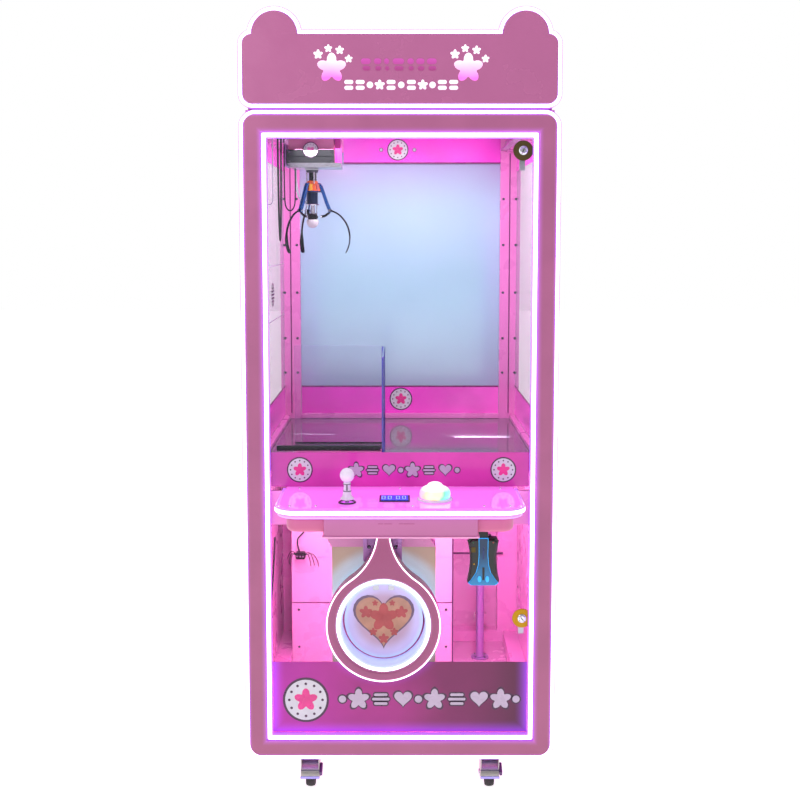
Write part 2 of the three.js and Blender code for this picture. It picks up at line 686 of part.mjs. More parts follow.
// A curved band in the radial plane: a short inner lever, the pivot and the long hooked finger
function clawFinger(turn) {
  const outer = new THREE.CubicBezierCurve(
    new THREE.Vector2(PIVOT.radius, PIVOT.z),
    new THREE.Vector2(90, 1502),
    new THREE.Vector2(120, 1440),
    new THREE.Vector2(91, 1394),
  );
  const middle = outer.getPoints(10);
  const half = 2.2;
  const offset = (side) => middle.map((point, i) => {
    const along = outer.getTangent(i / 10);
    return [point.x - side * half * along.y, point.y + side * half * along.x];
  });
  const upper = offset(1);
  const lower = offset(-1).reverse();
  const outline = polygon([[22, 1495], [PIVOT.radius, PIVOT.z + 4], ...upper.slice(1), ...lower.slice(0, -1),
    [PIVOT.radius + 1, PIVOT.z - 4], [24, 1490]]);
  return atClaw(standing(outline, -2.5, 2.5), turn);
}

function festoonCable() {
  const x = -314;
  const high = 1704;
  const low = 1428;
  const front = 108;
  const back = 184;
  const middle = (front + back) / 2;
  const points = [
    [front, high], [front, high - 30], [front + 3, 1600], [middle - 22, 1480], [middle, low],
    [middle + 22, 1480], [back - 3, 1600], [back, high - 30], [back, high],
  ];
  const path = new THREE.CatmullRomCurve3(points.map(([y, z]) => new THREE.Vector3(x, y, z)));
  const section = new THREE.Shape();
  circle(section, 0, 0, 4.5);
  return new THREE.ExtrudeGeometry(section, { steps: 40, extrudePath: path, curveSegments: 4 });
}

function addGantry() {
  add('bridge', bridge(), 'steel');
  add('trolley', trolley(), 'dark');
  add('winch_spool', winchSpool(), 'steel');
  add('hoist_cord', upright(CLAW.x, CLAW.y, [1618 + GAP, 1671], 1.5, 8), 'dark');
  add('claw_head', clawHead(), 'blue');
  add('claw_plunger', clawPlunger(), 'steel');
  FINGER_TURNS.forEach((turn, i) => add(`claw_finger_${i + 1}`, clawFinger(turn), 'dark'));
  add('festoon_cable', festoonCable(), 'rubber');
}

// Casters

function casterFork() {
  const inner = FORK_HALF - CHEEK_THICKNESS;
  const axle = alongX([-inner - 1, inner + 1], CASTER_TRAIL, WHEEL_RADIUS, 4, 12);
  const crown = [FORK_TOP - 13, FORK_TOP - 8];
  const cheek = polygon([
    [-16, crown[1]], [22, crown[1]], [CASTER_TRAIL + 14, WHEEL_RADIUS + 24],
    [CASTER_TRAIL + 9, WHEEL_RADIUS - 9], [CASTER_TRAIL - 9, WHEEL_RADIUS - 9], [-16, WHEEL_RADIUS + 34],
  ]);
  return join(
    turned([
      [0, FORK_TOP - 11], [27, FORK_TOP - 11], [27, FORK_TOP - 4], [22, FORK_TOP - GAP], [0, FORK_TOP - GAP],
    ], 20),
    mirroredBox(FORK_HALF, [-16, 22], crown),
    sideways(cheek, -FORK_HALF, -inner),
    sideways(cheek, inner, FORK_HALF),
    axle,
  );
}

function casterWheel() {
  const radius = WHEEL_RADIUS;
  const profile = [
    [4.5, -13], [12, -13], [12, -10], [radius - 7, -10], [radius - 6, -12], [radius, -8.5],
    [radius, 8.5], [radius - 6, 12], [radius - 7, 10], [12, 10], [12, 13], [4.5, 13], [4.5, -13],
  ];
  return turned(profile, 20).rotateY(Math.PI / 2);
}

function addCasters() {
  const places = { front_left: [-1, 0], front_right: [1, 0], rear_left: [-1, 1], rear_right: [1, 1] };
  for (const [place, [side, row]] of Object.entries(places)) {
    const x = side * CASTER_X;
    const y = CASTER_Y[row];
    add(`caster_fork_${place}`, casterFork(), 'steel').position.set(x, y, -LIFT);
    const wheel = add(`caster_wheel_${place}`, casterWheel(), 'rubber');
    wheel.position.set(x, y + CASTER_TRAIL, WHEEL_RADIUS - LIFT);
  }
}

addCabinet();
addHeader();
addDoor();
addGantry();
addCasters();

export default machine;
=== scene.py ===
"""Looks for the claw crane machine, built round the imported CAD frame.

Lengths in this file are millimetres in the machine's own axes: x to the right, depth behind the door's
face, and z up, with the door's foot at DOOR_FOOT. at() turns them into the frame's metres.
"""

import math

import bmesh
import bpy
from mathutils import Matrix, Vector


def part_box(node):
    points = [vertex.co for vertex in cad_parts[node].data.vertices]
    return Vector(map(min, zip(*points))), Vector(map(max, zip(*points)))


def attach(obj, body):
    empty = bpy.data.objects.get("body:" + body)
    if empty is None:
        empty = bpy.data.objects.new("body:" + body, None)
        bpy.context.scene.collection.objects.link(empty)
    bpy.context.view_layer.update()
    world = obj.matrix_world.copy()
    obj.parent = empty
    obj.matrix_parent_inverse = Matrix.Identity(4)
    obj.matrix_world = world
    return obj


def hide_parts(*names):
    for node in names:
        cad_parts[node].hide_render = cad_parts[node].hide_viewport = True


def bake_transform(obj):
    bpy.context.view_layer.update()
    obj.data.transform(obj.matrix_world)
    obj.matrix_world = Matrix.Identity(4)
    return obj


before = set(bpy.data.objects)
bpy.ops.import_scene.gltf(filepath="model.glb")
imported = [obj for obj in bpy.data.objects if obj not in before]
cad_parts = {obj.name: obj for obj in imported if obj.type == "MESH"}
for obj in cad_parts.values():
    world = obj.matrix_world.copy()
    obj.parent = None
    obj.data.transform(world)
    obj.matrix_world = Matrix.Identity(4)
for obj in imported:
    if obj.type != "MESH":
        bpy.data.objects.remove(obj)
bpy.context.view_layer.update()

MM = 0.001
DOOR_FOOT = 95
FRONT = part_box("door_frame")[0].y
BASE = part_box("door_frame")[0].z - DOOR_FOOT * MM
TO_FRAME = Matrix.Translation((0, FRONT, BASE)) @ Matrix.Scale(MM, 4)
SMOOTH_ANGLE = math.radians(38)


# ---------------------------------------------------------------------------------------------- places

def at(x, depth, z):
    """A point in the machine's millimetres as a point in the frame's metres."""
    return TO_FRAME @ Vector((x, depth, z))


def level(z):
    return at(0, 0, z).z


def span(node):
    """A CAD node's box in mm: (left, right), (front, back), (low, high)."""
    low, high = (TO_FRAME.inverted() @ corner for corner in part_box(node))
    return (low.x, high.x), (low.y, high.y), (low.z, high.z)


def middle(pair):
    return (pair[0] + pair[1]) / 2


RING_X, _, RING_Z = span("prize_ring_led")
OUTLET = (middle(RING_X), middle(RING_Z))
DOOR_X, _, DOOR_Z = span("door_frame")
CLAW_X, CLAW_DEPTH = (middle(pair) for pair in span("hoist_cord")[:2])

# The door's outside and its window: half width, foot and top
DOOR_HALF, DOOR_LOW, DOOR_HIGH = 388, 95, 1738
WINDOW_HALF, WINDOW_LOW, WINDOW_HIGH = 346, 134, 1696
HEADER_LOW, HEADER_HIGH, HEADER_CORNER = 1765, 1932, 23
EAR_X, EAR_RADIUS = 309, 56
ACCEPTOR = (213, 611)
STICK, BUTTON = (-127, -150), (85, -120)
CONSOLE_TOP = 800
BULKHEAD_FACE = 624.7
REAR_FACE = 850
ON_PLAY_FIELD = 850.2

# The claw's three fingers: their directions in degrees, and their pivots' reach and height
ARM_TURNS = (-8, 112, 232)
PIVOT_REACH, PIVOT_Z = 48, 1508


# ---------------------------------------------------------------------------------------------- camera

def make_camera():
    data = bpy.data.cameras.new("camera")
    camera = bpy.data.objects.new("camera", data)
    bpy.context.scene.collection.objects.link(camera)
    data.lens = 49.5
    data.shift_y = -0.078
    camera.location = at(0, -2750, 1428)
    camera.rotation_euler = (math.radians(90 - 5.05), 0, 0)
    bpy.context.scene.camera = camera


# ------------------------------------------------------------------------------------------- materials

def srgb(red, green, blue):
    """A colour given as 0-255 display values, as linear RGBA."""
    def linear(value):
        value /= 255
        return value / 12.92 if value <= 0.04045 else ((value + 0.055) / 1.055) ** 2.4
    return (linear(red), linear(green), linear(blue), 1.0)


class Shader:
    """A Principled material whose patterns are read in object space."""

    def __init__(self, name, colour, roughness, **plain):
        self.material = bpy.data.materials.new(name)
        self.material.use_nodes = True
        self.nodes = self.material.node_tree.nodes
        self.links = self.material.node_tree.links
        self.principled = self.nodes["Principled BSDF"]
        self.set("Base Color", colour)
        self.set("Roughness", roughness)
        for socket, value in plain.items():
            self.set(socket.replace("_", " "), value)
        self.place = self.nodes.new("ShaderNodeTexCoord").outputs["Object"]

    def set(self, socket, value):
        self.principled.inputs[socket].default_value = value

    def node(self, kind, **settings):
        made = self.nodes.new("ShaderNode" + kind)
        for key, value in settings.items():
            setattr(made, key, value)
        return made

    def stretched(self, scale):
        mapping = self.node("Mapping")
        mapping.inputs["Scale"].default_value = scale
        self.links.new(self.place, mapping.inputs["Vector"])
        return mapping.outputs["Vector"]

    def noise(self, scale, detail=2.0, stretch=None):
        texture = self.node("TexNoise")
        texture.inputs["Scale"].default_value = scale
        texture.inputs["Detail"].default_value = detail
        source = self.stretched(stretch) if stretch else self.place
        self.links.new(source, texture.inputs["Vector"])
        return texture.outputs["Fac"]

    def ramp(self, factor, stops, ease="LINEAR"):
        """A colour ramp over factor; stops are (position, colour)."""
        made = self.node("ValToRGB")
        made.color_ramp.interpolation = ease
        elements = made.color_ramp.elements
        while len(elements) < len(stops):
            elements.new(0.5)
        for element, (position, colour) in zip(elements, stops):
            element.position = position
            element.color = colour
        self.links.new(factor, made.inputs["Fac"])
        return made.outputs["Color"]

    def mapped(self, value, start, end, low, high):
        made = self.node("MapRange", clamp=True)
        for socket, number in zip(("From Min", "From Max", "To Min", "To Max"), (start, end, low, high)):
            made.inputs[socket].default_value = number
        self.links.new(value, made.inputs["Value"])
        return made.outputs["Result"]

    def axis(self, letter):
        """The object-space coordinate along x, y or z, in metres."""
        made = self.node("SeparateXYZ")
        self.links.new(self.place, made.inputs["Vector"])
        return made.outputs[letter.upper()]

    def height(self, low, high):
        """0 at a height of low mm, 1 at high."""
        return self.mapped(self.axis("z"), level(low), level(high), 0.0, 1.0)

    def across(self):
        """0 at the left end of a printed band, 1 at its right end."""
        return self.mapped(self.axis("x"), -0.33, 0.33, 0.0, 1.0)

    def distance(self, point):
        """How far a point of the surface is from point, in metres."""
        made = self.node("VectorMath", operation="DISTANCE")
        made.inputs[1].default_value = point
        self.links.new(self.place, made.inputs[0])
        return made.outputs["Value"]

    def mixed(self, factor, first, second, blend="MIX"):
        made = self.node("Mix", data_type="RGBA", blend_type=blend)
        for socket, value in ((0, factor), (6, first), (7, second)):
            if isinstance(value, bpy.types.NodeSocket):
                self.links.new(value, made.inputs[socket])
            else:
                made.inputs[socket].default_value = value
        return made.outputs[2]

    def into(self, socket, output):
        self.links.new(output, self.principled.inputs[socket])
        return self

    def coloured(self, colour, lit=0.0):
        """The colour of the surface, and of its own light where it is lit."""
        if lit:
            self.set("Emission Strength", lit)
            self.into("Emission Color", colour)
        return self.into("Base Color", colour)

    def clouded(self, tone, dark, scale, detail, end=0.7, start=0.3):
        """A tone with soft patches that multiply it by dark."""
        cloud = self.ramp(self.noise(scale, detail), [(start, (*dark, 1)), (end, (1, 1, 1, 1))])
        return self.mixed(1.0, tone, cloud, "MULTIPLY")

    def mottled(self, dark, light, scale, detail=3.0, stretch=None, span=(0.35, 0.65)):
        """Base colour that wanders between two shades."""
        factor = self.noise(scale, detail, stretch)
        return self.into("Base Color", self.ramp(factor, [(span[0], dark), (span[1], light)]))

    def uneven_gloss(self, low, high, scale, stretch=None):
        return self.into("Roughness", self.mapped(self.noise(scale, 3.0, stretch), 0.3, 0.7, low, high))

    def math(self, operation, first, second=None, clamp=False):
        made = self.node("Math", operation=operation, use_clamp=clamp)
        for socket, value in zip(made.inputs, (first, second)):
            if isinstance(value, bpy.types.NodeSocket):
                self.links.new(value, socket)
            elif value is not None:
                socket.default_value = value
        return made.outputs[0]

    def spill(self, half_x, low, high, reach, inside=False):
        """Light that fades with the distance, in mm, from an upright rectangle's border: 1 at the border."""
        across = self.math("SUBTRACT", self.math("ABSOLUTE", self.axis("x")), half_x * MM)
        from_middle = self.math("SUBTRACT", self.axis("z"), level((low + high) / 2))
        along = self.math("SUBTRACT", self.math("ABSOLUTE", from_middle), (high - low) / 2 * MM)
        away = self.math("MAXIMUM", across, along)
        start, end = (-reach, 0) if inside else (reach, 0)
        return self.math("POWER", self.mapped(away, start * MM, end * MM, 0.0, 1.0), 2.0)

    def glow(self, factor, colour, strength):
        """Adds light of this colour where factor says so."""
        self.set("Emission Strength", strength)
        return self.into("Emission Color", self.mixed(factor, (0, 0, 0, 1), colour))

    def bumped(self, scale, height, detail=2.0, stretch=None):
        """Relief of the given height in metres."""
        bump = self.node("Bump")
        bump.inputs["Strength"].default_value = 1.0
        bump.inputs["Distance"].default_value = height
        self.links.new(self.noise(scale, detail, stretch), bump.inputs["Height"])
        return self.into("Normal", bump.outputs["Normal"])


def shades(colour, spread):
    """A darker and a lighter shade round a colour."""
    dark = tuple(channel * (1 - spread) for channel in colour[:3]) + (1.0,)
    light = tuple(min(channel * (1 + spread), 1.0) for channel in colour[:3]) + (1.0,)
    return dark, light


def painted(name, colour, roughness=0.34, metallic=0.25, coat=0.25, spread=0.04, grain=0.00006):
    """Powder-coated sheet metal: fine orange peel, slight mottling and uneven gloss."""
    shader = Shader(name, colour, roughness, Metallic=metallic, Coat_Weight=coat, Coat_Roughness=0.22)
    shader.mottled(*shades(colour, spread), 5.0, 3.0, span=(0.25, 0.75))
    shader.uneven_gloss(roughness - 0.06, roughness + 0.08, 14.0)
    shader.bumped(850.0, grain)
    return shader.material


def moulded(name, colour, roughness=0.4, coat=0.0, spread=0.12, grain=0.00008, **plain):
    """Moulded plastic with a fine spark-eroded grain."""
    shader = Shader(name, colour, roughness, Coat_Weight=coat, Coat_Roughness=0.1, **plain)
    shader.mottled(*shades(colour, spread), 30.0, 5.0)
    shader.uneven_gloss(roughness * 0.8, roughness * 1.25, 40.0)
    shader.bumped(1100.0, grain)
    return shader.material


def metal(name, colour, roughness=0.3, stretch=(1, 1, 30), spread=0.1, grain=0.00004):
    """Bare or plated metal with drawn scratches along one axis."""
    shader = Shader(name, colour, roughness, Metallic=0.95)
    shader.mottled(*shades(colour, spread), 60.0, 6.0, stretch)
    shader.uneven_gloss(roughness * 0.7, roughness * 1.4, 90.0, stretch)
    shader.bumped(300.0, grain, 4.0, stretch)
    return shader.material


def rubber(name, colour, roughness=0.7):
    shader = Shader(name, colour, roughness)
    shader.mottled(*shades(colour, 0.3), 120.0, 5.0)
    shader.uneven_gloss(roughness - 0.12, roughness + 0.1, 60.0)
    shader.bumped(900.0, 0.00012)
    return shader.material


def glowing(name, colour, light, strength, pitch=60.0):
    """A lit diffuser: the lamps behind it show as a faint, regular unevenness."""
    shader = Shader(name, colour, 0.35, Emission_Strength=strength, Coat_Weight=0.3)
    shader.mottled(*shades(colour, 0.03), 80.0)
    dim = tuple(channel * 0.9 for channel in light[:3]) + (1.0,)
    shader.into("Emission Color", shader.ramp(shader.noise(pitch, 1.0), [(0.35, dim), (0.6, light)]))
    return shader.material


def clear(name, tint, alpha, roughness=0.03):
    """Clear sheet: mostly see-through, with a faint haze in its gloss."""
    shader = Shader(name, tint, roughness, Alpha=alpha, IOR=1.5, Specular_IOR_Level=0.5)
    shader.mottled(*shades(tint, 0.04), 2.5, 4.0)
    shader.uneven_gloss(roughness, roughness + 0.05, 5.0)
    return shader.material


def film(name, left, centre, right, lit):
    """Printed film, lit from behind, that runs between three colours across the machine."""
    shader = Shader(name, centre, 0.25, Coat_Weight=0.5, Coat_Roughness=0.08)
    tone = shader.ramp(shader.across(), [(0.0, left), (0.45, centre), (1.0, right)], "EASE")
    shader.coloured(shader.clouded(tone, (0.75, 0.75, 0.75), 7.0, 5.0, 0.65), lit)
    shader.bumped(500.0, 0.00003)
    return shader.material


def faded(name, low_colour, high_colour, z_low, z_high, lit=0.0, roughness=0.3):
    """A colour that runs from one shade at z_low to another at z_high, in mm."""
    shader = Shader(name, low_colour, roughness, Coat_Weight=0.3)
    wander = shader.mapped(shader.noise(25.0, 3.0), 0.3, 0.7, -0.06, 0.06)
    share = shader.math("ADD", shader.height(z_low, z_high), wander, clamp=True)
    shader.coloured(shader.ramp(share, [(0.0, low_colour), (1.0, high_colour)]), lit)
    shader.bumped(700.0, 0.00004)
    return shader.material


def from_outlet(name, stops, reach, roughness, lit):
    """Frosted sheet with painted light: its colour and glow change with the distance from the outlet's
    centre, out to reach mm.
    """
    shader = Shader(name, stops[0][1], roughness, Coat_Weight=0.2)
    away = shader.mapped(shader.distance(at(OUTLET[0], 0, OUTLET[1])), 0.0, reach * MM, 0.0, 1.0)
    shader.coloured(shader.clouded(shader.ramp(away, stops, "EASE"), (0.88, 0.88, 0.9), 14.0, 4.0), lit)
    shader.bumped(600.0, 0.00006)
    return shader.material


def rainbow_dome():
    """The start button: coloured lamps glow through a milky dome."""
    shader = Shader("start_button_dome", srgb(245, 240, 235), 0.22, Coat_Weight=0.4)
    across = shader.mapped(shader.axis("x"), 0.05, 0.118, 0.0, 1.0)
    swirl = shader.mapped(shader.noise(22.0, 1.0), 0.3, 0.7, -0.25, 0.25)
    hue = shader.ramp(shader.math("ADD", across, swirl, clamp=True), [
        (0.0, srgb(250, 190, 235)), (0.3, srgb(252, 205, 170)), (0.5, srgb(240, 245, 190)),
        (0.7, srgb(120, 240, 175)), (1.0, srgb(140, 245, 240)),
    ])
    shader.coloured(shader.mixed(shader.height(824, 834), hue, srgb(252, 248, 250)), 0.75)
    return shader.material


def lit_gloss(name, colour, lit):
    """Glossy acrylic with light inside it from the strip along its edge."""
    shader = Shader(name, colour, 0.08, Coat_Weight=0.8, Coat_Roughness=0.03, Emission_Strength=lit)
    shader.set("Emission Color", colour)
    shader.mottled(*shades(colour, 0.04), 9.0, 5.0)
    shader.uneven_gloss(0.05, 0.14, 10.0)
    shader.bumped(40.0, 0.00003)
    return shader.material


def lit_paint(name, low_colour, high_colour):
    """The door's paint with painted shade that darkens it towards its foot, and the light strips' violet
    spilling onto its borders as painted light.
    """
    shader = Shader(name, low_colour, 0.34, Metallic=0.25, Coat_Weight=0.25, Coat_Roughness=0.22)
    # Painted shade: the paint darkens from high_colour down to low_colour towards the door's foot.
    tone = shader.ramp(shader.height(300, 1500), [(0.0, low_colour), (1.0, high_colour)])
    shader.coloured(shader.clouded(tone, (0.92, 0.92, 0.92), 9.0, 6.0, 0.65, 0.35))
    shader.uneven_gloss(0.28, 0.42, 14.0)
    window = shader.spill(WINDOW_HALF, WINDOW_LOW, WINDOW_HIGH, 13)
    border = shader.spill(DOOR_HALF, *DOOR_Z, 7, inside=True)
    shader.glow(shader.math("MAXIMUM", window, border), srgb(170, 80, 245), 0.5)
    shader.bumped(850.0, 0.00006)
    return shader.material


def lower_band_material():
    """The lower printed band, lit magenta at the left and shaded maroon at the right as painted light and
    shade, with violet light round its edge.
    """
    shader = Shader("lower_film", srgb(170, 50, 140), 0.32, Coat_Weight=0.15, Coat_Roughness=0.1,
                    Specular_IOR_Level=0.35)
    # Painted light and shade: the band runs from lit magenta at the left to shaded maroon at the right.
    tone = shader.ramp(shader.across(), [
        (0.0, srgb(186, 44, 164)), (0.4, srgb(176, 50, 140)), (0.7, srgb(136, 44, 102)),
        (1.0, srgb(92, 32, 68)),
    ], "EASE")
    shader.coloured(shader.clouded(tone, (0.78, 0.78, 0.8), 6.0, 5.0, 0.65))
    edge = shader.spill(330, 150, 1680, 34, inside=True)
    ring = shader.mapped(shader.distance(at(OUTLET[0], 20, OUTLET[1])), 0.146, 0.19, 1.0, 0.0)
    both = shader.math("MAXIMUM", edge, shader.math("MULTIPLY", shader.math("POWER", ring, 2.0), 0.8))
    shader.glow(both, srgb(160, 70, 250), 0.85)
    return shader.material


def mirror_material():
    """Pale blue mirrored sheet with a slight cloudiness, its colour changing with height as a painted
    reflection.
    """
    shader = Shader("mirror_sheet", srgb(184, 200, 228), 0.16, Metallic=0.35, Coat_Weight=0.6,
                    Coat_Roughness=0.06)
    # Painted reflection: the blues that change with height stand in for what the mirror reflects.
    tone = shader.ramp(shader.height(950, 1680), [
        (0.0, srgb(186, 210, 232)), (0.45, srgb(184, 222, 244)), (0.75, srgb(196, 226, 250)),
        (1.0, srgb(196, 204, 236)),
    ], "EASE")
    shader.coloured(shader.clouded(tone, (0.93, 0.93, 0.95), 3.0, 4.0))
    shader.uneven_gloss(0.12, 0.24, 4.0)
    return shader.material


def play_material():
    """Glossy grey-violet laminate with a fine fleck."""
    shader = Shader("play_field_laminate", srgb(104, 96, 112), 0.12, Coat_Weight=0.35, Coat_Roughness=0.04)
    shader.mottled(srgb(88, 88, 102), srgb(118, 106, 120), 4.0, 6.0)
    shader.uneven_gloss(0.08, 0.2, 6.0)
    shader.bumped(12.0, 0.0001)
    return shader.material


WHITE = srgb(255, 252, 255)
ROSE = srgb(194, 110, 156)

PINK = painted("rose_powder_coat", ROSE)
PINK_DEEP = painted("rose_powder_coat_deep", srgb(180, 92, 138), 0.4)
PINK_RING = painted("outlet_powder_coat", srgb(156, 80, 122), 0.36, 0.2)
PINK_INNER = painted("bright_pink_sheet", srgb(238, 128, 205), 0.3, 0.05, 0.4)
PINK_GLOSS = lit_gloss("glossy_pink_acrylic", srgb(248, 130, 250), 0.42)
MAGENTA_PAINT = painted("magenta_paint", srgb(205, 60, 160), 0.35, 0.1)
LAVENDER_METAL = painted("lavender_metal", srgb(186, 132, 200), 0.3, 0.4)
PINK_FACE = painted("header_acrylic", srgb(184, 102, 150), 0.22, 0.1, 0.4)
LED_CORE = glowing("led_core", WHITE, srgb(255, 248, 255), 3.2)
LED_RIM = glowing("led_rim", srgb(196, 140, 250), srgb(172, 96, 250), 0.75)
LED_THIN = glowing("led_thin_line", WHITE, srgb(250, 235, 255), 1.8)
GLASS = clear("clear_glass", srgb(96, 104, 116), 0.05)
ACRYLIC = clear("clear_acrylic", srgb(150, 150, 215), 0.07)
ACRYLIC_EDGE = moulded("acrylic_edge", srgb(74, 72, 176), 0.12, 0.5)
ACRYLIC_PALE = moulded("acrylic_pale_edge", srgb(176, 176, 214), 0.12, 0.5, Alpha=0.5)
ZINC = metal("zinc_plate", srgb(196, 196, 204), 0.32)
CHROME = metal("chrome", srgb(225, 226, 232), 0.1, (1, 1, 8), 0.05, 0.00001)
STEEL_DARK = metal("dark_steel", srgb(112, 110, 122), 0.35)
BRASS = metal("brass", srgb(178, 134, 34), 0.28, (30, 1, 1))
OLIVE_METAL = metal("bronze_plate", srgb(96, 84, 52), 0.38, (30, 1, 1))
DARK_GREY = painted("dark_grey_paint", srgb(44, 46, 50), 0.45, 0.1, 0.1, 0.15)
BLACK_PAINT = painted("black_paint", srgb(22, 22, 26), 0.4, 0.2, 0.2, 0.3)
BLACK_PLASTIC = moulded("black_plastic", srgb(16, 16, 20), 0.36, 0.15, 0.3)
BLACK_GLOSS = moulded("black_gloss_plastic", srgb(10, 11, 14), 0.2, 0.25, 0.3, 0.00002)
NAVY = painted("navy_enamel", srgb(16, 44, 104), 0.3, 0.3, 0.5, 0.2)
NAVY_COIL = painted("navy_coil_sleeve", srgb(26, 38, 74), 0.42, 0.1, 0.2, 0.25)
ORANGE = moulded("orange_tape", srgb(214, 84, 30), 0.35, 0.2, 0.35)
YELLOW = moulded("yellow_tape", srgb(226, 158, 42), 0.35, 0.2, 0.3)
LAVENDER_WHITE = moulded("lavender_white_plastic", srgb(242, 228, 252), 0.15, 0.6, 0.05, 0.00002)
RUBBER = rubber("wheel_rubber", srgb(36, 32, 32))
CABLE_BLACK = rubber("black_sheath", srgb(30, 30, 34), 0.5)
CABLE_GREEN = rubber("dark_green_sheath", srgb(46, 62, 52), 0.5)
CABLE_WHITE = moulded("white_sheath", srgb(228, 232, 240), 0.3, 0.3, 0.05)
# Painted highlight: the blue lens is brighter and lit towards its foot.
BLUE_GLASS = faded("blue_translucent", srgb(24, 132, 190), srgb(8, 48, 84), 545, 640, 0.12, 0.14)
# Painted highlight, made like a lit diffuser though no lamp: cyan light on the lens's edge and beside the
# slot.
BLUE_HIGHLIGHT = glowing("blue_lens_highlight", srgb(40, 160, 220), srgb(30, 150, 235), 0.9)
BLUE_SCREEN = glowing("blue_screen", srgb(20, 50, 190), srgb(28, 62, 235), 0.8, 30.0)
SCREEN_DIGIT = glowing("screen_digit", srgb(150, 190, 255), srgb(130, 175, 255), 1.2)
BAND_MAGENTA = film("magenta_film", srgb(206, 52, 168), srgb(222, 46, 178), srgb(206, 44, 160), lit=0.12)
BAND_REAR = film("rear_magenta_film", srgb(250, 110, 245), srgb(244, 60, 212), srgb(240, 60, 205), lit=0.25)
BAND_EDGE = moulded("film_edge", srgb(128, 34, 104), 0.3, 0.4)
MARK_DARK = moulded("print_dark", srgb(64, 14, 62), 0.3, 0.4)
# The silver and white print are darker than the ink itself: painted shade, with the dimming of the glass in
# front of them.
MARK_SILVER = moulded("print_silver", srgb(190, 172, 196), 0.3, 0.4, 0.06)
MARK_WHITE = moulded("print_white", srgb(212, 208, 218), 0.3, 0.4, 0.05)
MARK_PINK = moulded("print_pink", srgb(236, 120, 188), 0.3, 0.4)
MARK_HOT = moulded("print_hot_pink", srgb(228, 44, 140), 0.3, 0.4)
GLYPH_WHITE = faded("header_mark_large", srgb(238, 110, 222), srgb(255, 246, 255), 1826, 1880, 0.35)
GLYPH_PALE = faded("header_mark_small", srgb(250, 226, 255), srgb(255, 246, 255), 1790, 1830, 0.3)
GLYPH_DIM = faded("header_mark_dim", srgb(168, 60, 128), srgb(214, 84, 186), 1842, 1872)
BADGE_RED = moulded("badge_red", srgb(178, 82, 82), 0.6, 0.0, 0.12)
BADGE_TAN = moulded("badge_tan", srgb(188, 138, 114), 0.6, 0.0, 0.12)
BADGE_SHADE = moulded("badge_shade", srgb(122, 98, 116), 0.6, 0.0, 0.1)
PCB_GREEN = moulded("board_green", srgb(24, 84, 52), 0.4, 0.2)
CONSOLE_LIP = glowing("console_lip", srgb(216, 170, 250), srgb(176, 120, 250), 0.55)
CONSOLE_TUB = painted("console_tub_paint", srgb(206, 104, 146), 0.4, 0.05, 0.2)
CONSOLE_BOX = painted("console_box_paint", srgb(194, 112, 162), 0.42, 0.05, 0.15)
CONSOLE_FLANGE = painted("console_flange_paint", srgb(246, 170, 214), 0.3, 0.05, 0.3)
LED_CYAN = glowing("led_cyan_flank", srgb(176, 190, 234), srgb(186, 196, 255), 0.62)
PINK_FLOOR = painted("floor_sheet", srgb(222, 132, 194), 0.22, 0.05, 0.6)
PINK_SHELL = painted("shell_sheet", srgb(226, 134, 198), 0.3, 0.05, 0.4)
PINK_BULKHEAD = painted("bulkhead_sheet", srgb(234, 152, 208), 0.3, 0.05, 0.4)
SIDE_GLASS = clear("side_window", srgb(190, 184, 208), 0.36, 0.06)
LEG_LILAC = painted("post_lilac", srgb(176, 112, 190), 0.3, 0.45, 0.3)
EDGE_TRIM = moulded("edge_trim", srgb(84, 30, 84), 0.4, 0.2)
PANEL_MAGENTA = painted("magenta_panel", srgb(226, 62, 176), 0.3, 0.05, 0.5)
DARK_LINE = moulded("dark_seam", srgb(96, 30, 84), 0.5)
BAND_REAR_LOW = film("rear_low_film", srgb(232, 56, 196), srgb(236, 60, 200), srgb(250, 96, 214), lit=0.18)
BAND_SIDE = film("side_film", srgb(246, 90, 214), srgb(246, 90, 214), srgb(246, 90, 214), lit=0.15)
TROLLEY_COVER = painted("trolley_cover_paint", srgb(236, 142, 190), 0.35, 0.05, 0.3)
ARM_BLUE = painted("arm_blue_enamel", srgb(14, 72, 142), 0.25, 0.3, 0.6, 0.25)
DOME_WHITE = moulded("dome_white", srgb(228, 220, 228), 0.2, 0.6, 0.05, 0.00002)
FINGER_BLACK = painted("finger_black", srgb(20, 22, 28), 0.28, 0.5, 0.4, 0.3)
CABLE_MILKY = moulded("milky_sheath", srgb(226, 226, 240), 0.25, 0.4, 0.05, Alpha=0.85)
CASTER_VIOLET = metal("caster_crown", srgb(166, 160, 226), 0.3)
CASTER_GREY = metal("caster_housing", srgb(178, 176, 170), 0.34, (1, 30, 1))
BRAKE_PURPLE = moulded("brake_purple", srgb(84, 44, 104), 0.35, 0.4)
START_DOME = rainbow_dome()

# Painted light: the flap turns pale blue-white towards its rim, where the outlet's light ring glows.
FLAP_FROST = from_outlet("flap_frost", [
    (0.0, srgb(172, 142, 146)), (0.55, srgb(190, 156, 178)), (0.84, srgb(212, 196, 230)),
    (1.0, srgb(214, 236, 252)),
], 104, 0.5, lit=0.12)
# Painted light and shade: the chute's face glows white at the outlet's centre and darkens further out.
BIN_FROST = from_outlet("bin_frost", [
    (0.0, srgb(240, 250, 255)), (0.58, srgb(206, 244, 255)), (0.68, srgb(196, 214, 220)),
    (0.82, srgb(180, 158, 138)),
    (1.0, srgb(170, 138, 122)),
], 240, 0.45, lit=0.4)


MIRROR = mirror_material()
PLAY = play_material()
# Painted shade: the first colour is the door's paint darkened at its foot, the second its paint higher up.
DOOR_PINK = lit_paint("door_powder_coat", srgb(168, 92, 130), srgb(182, 102, 146))
BAND_LOWER = lower_band_material()


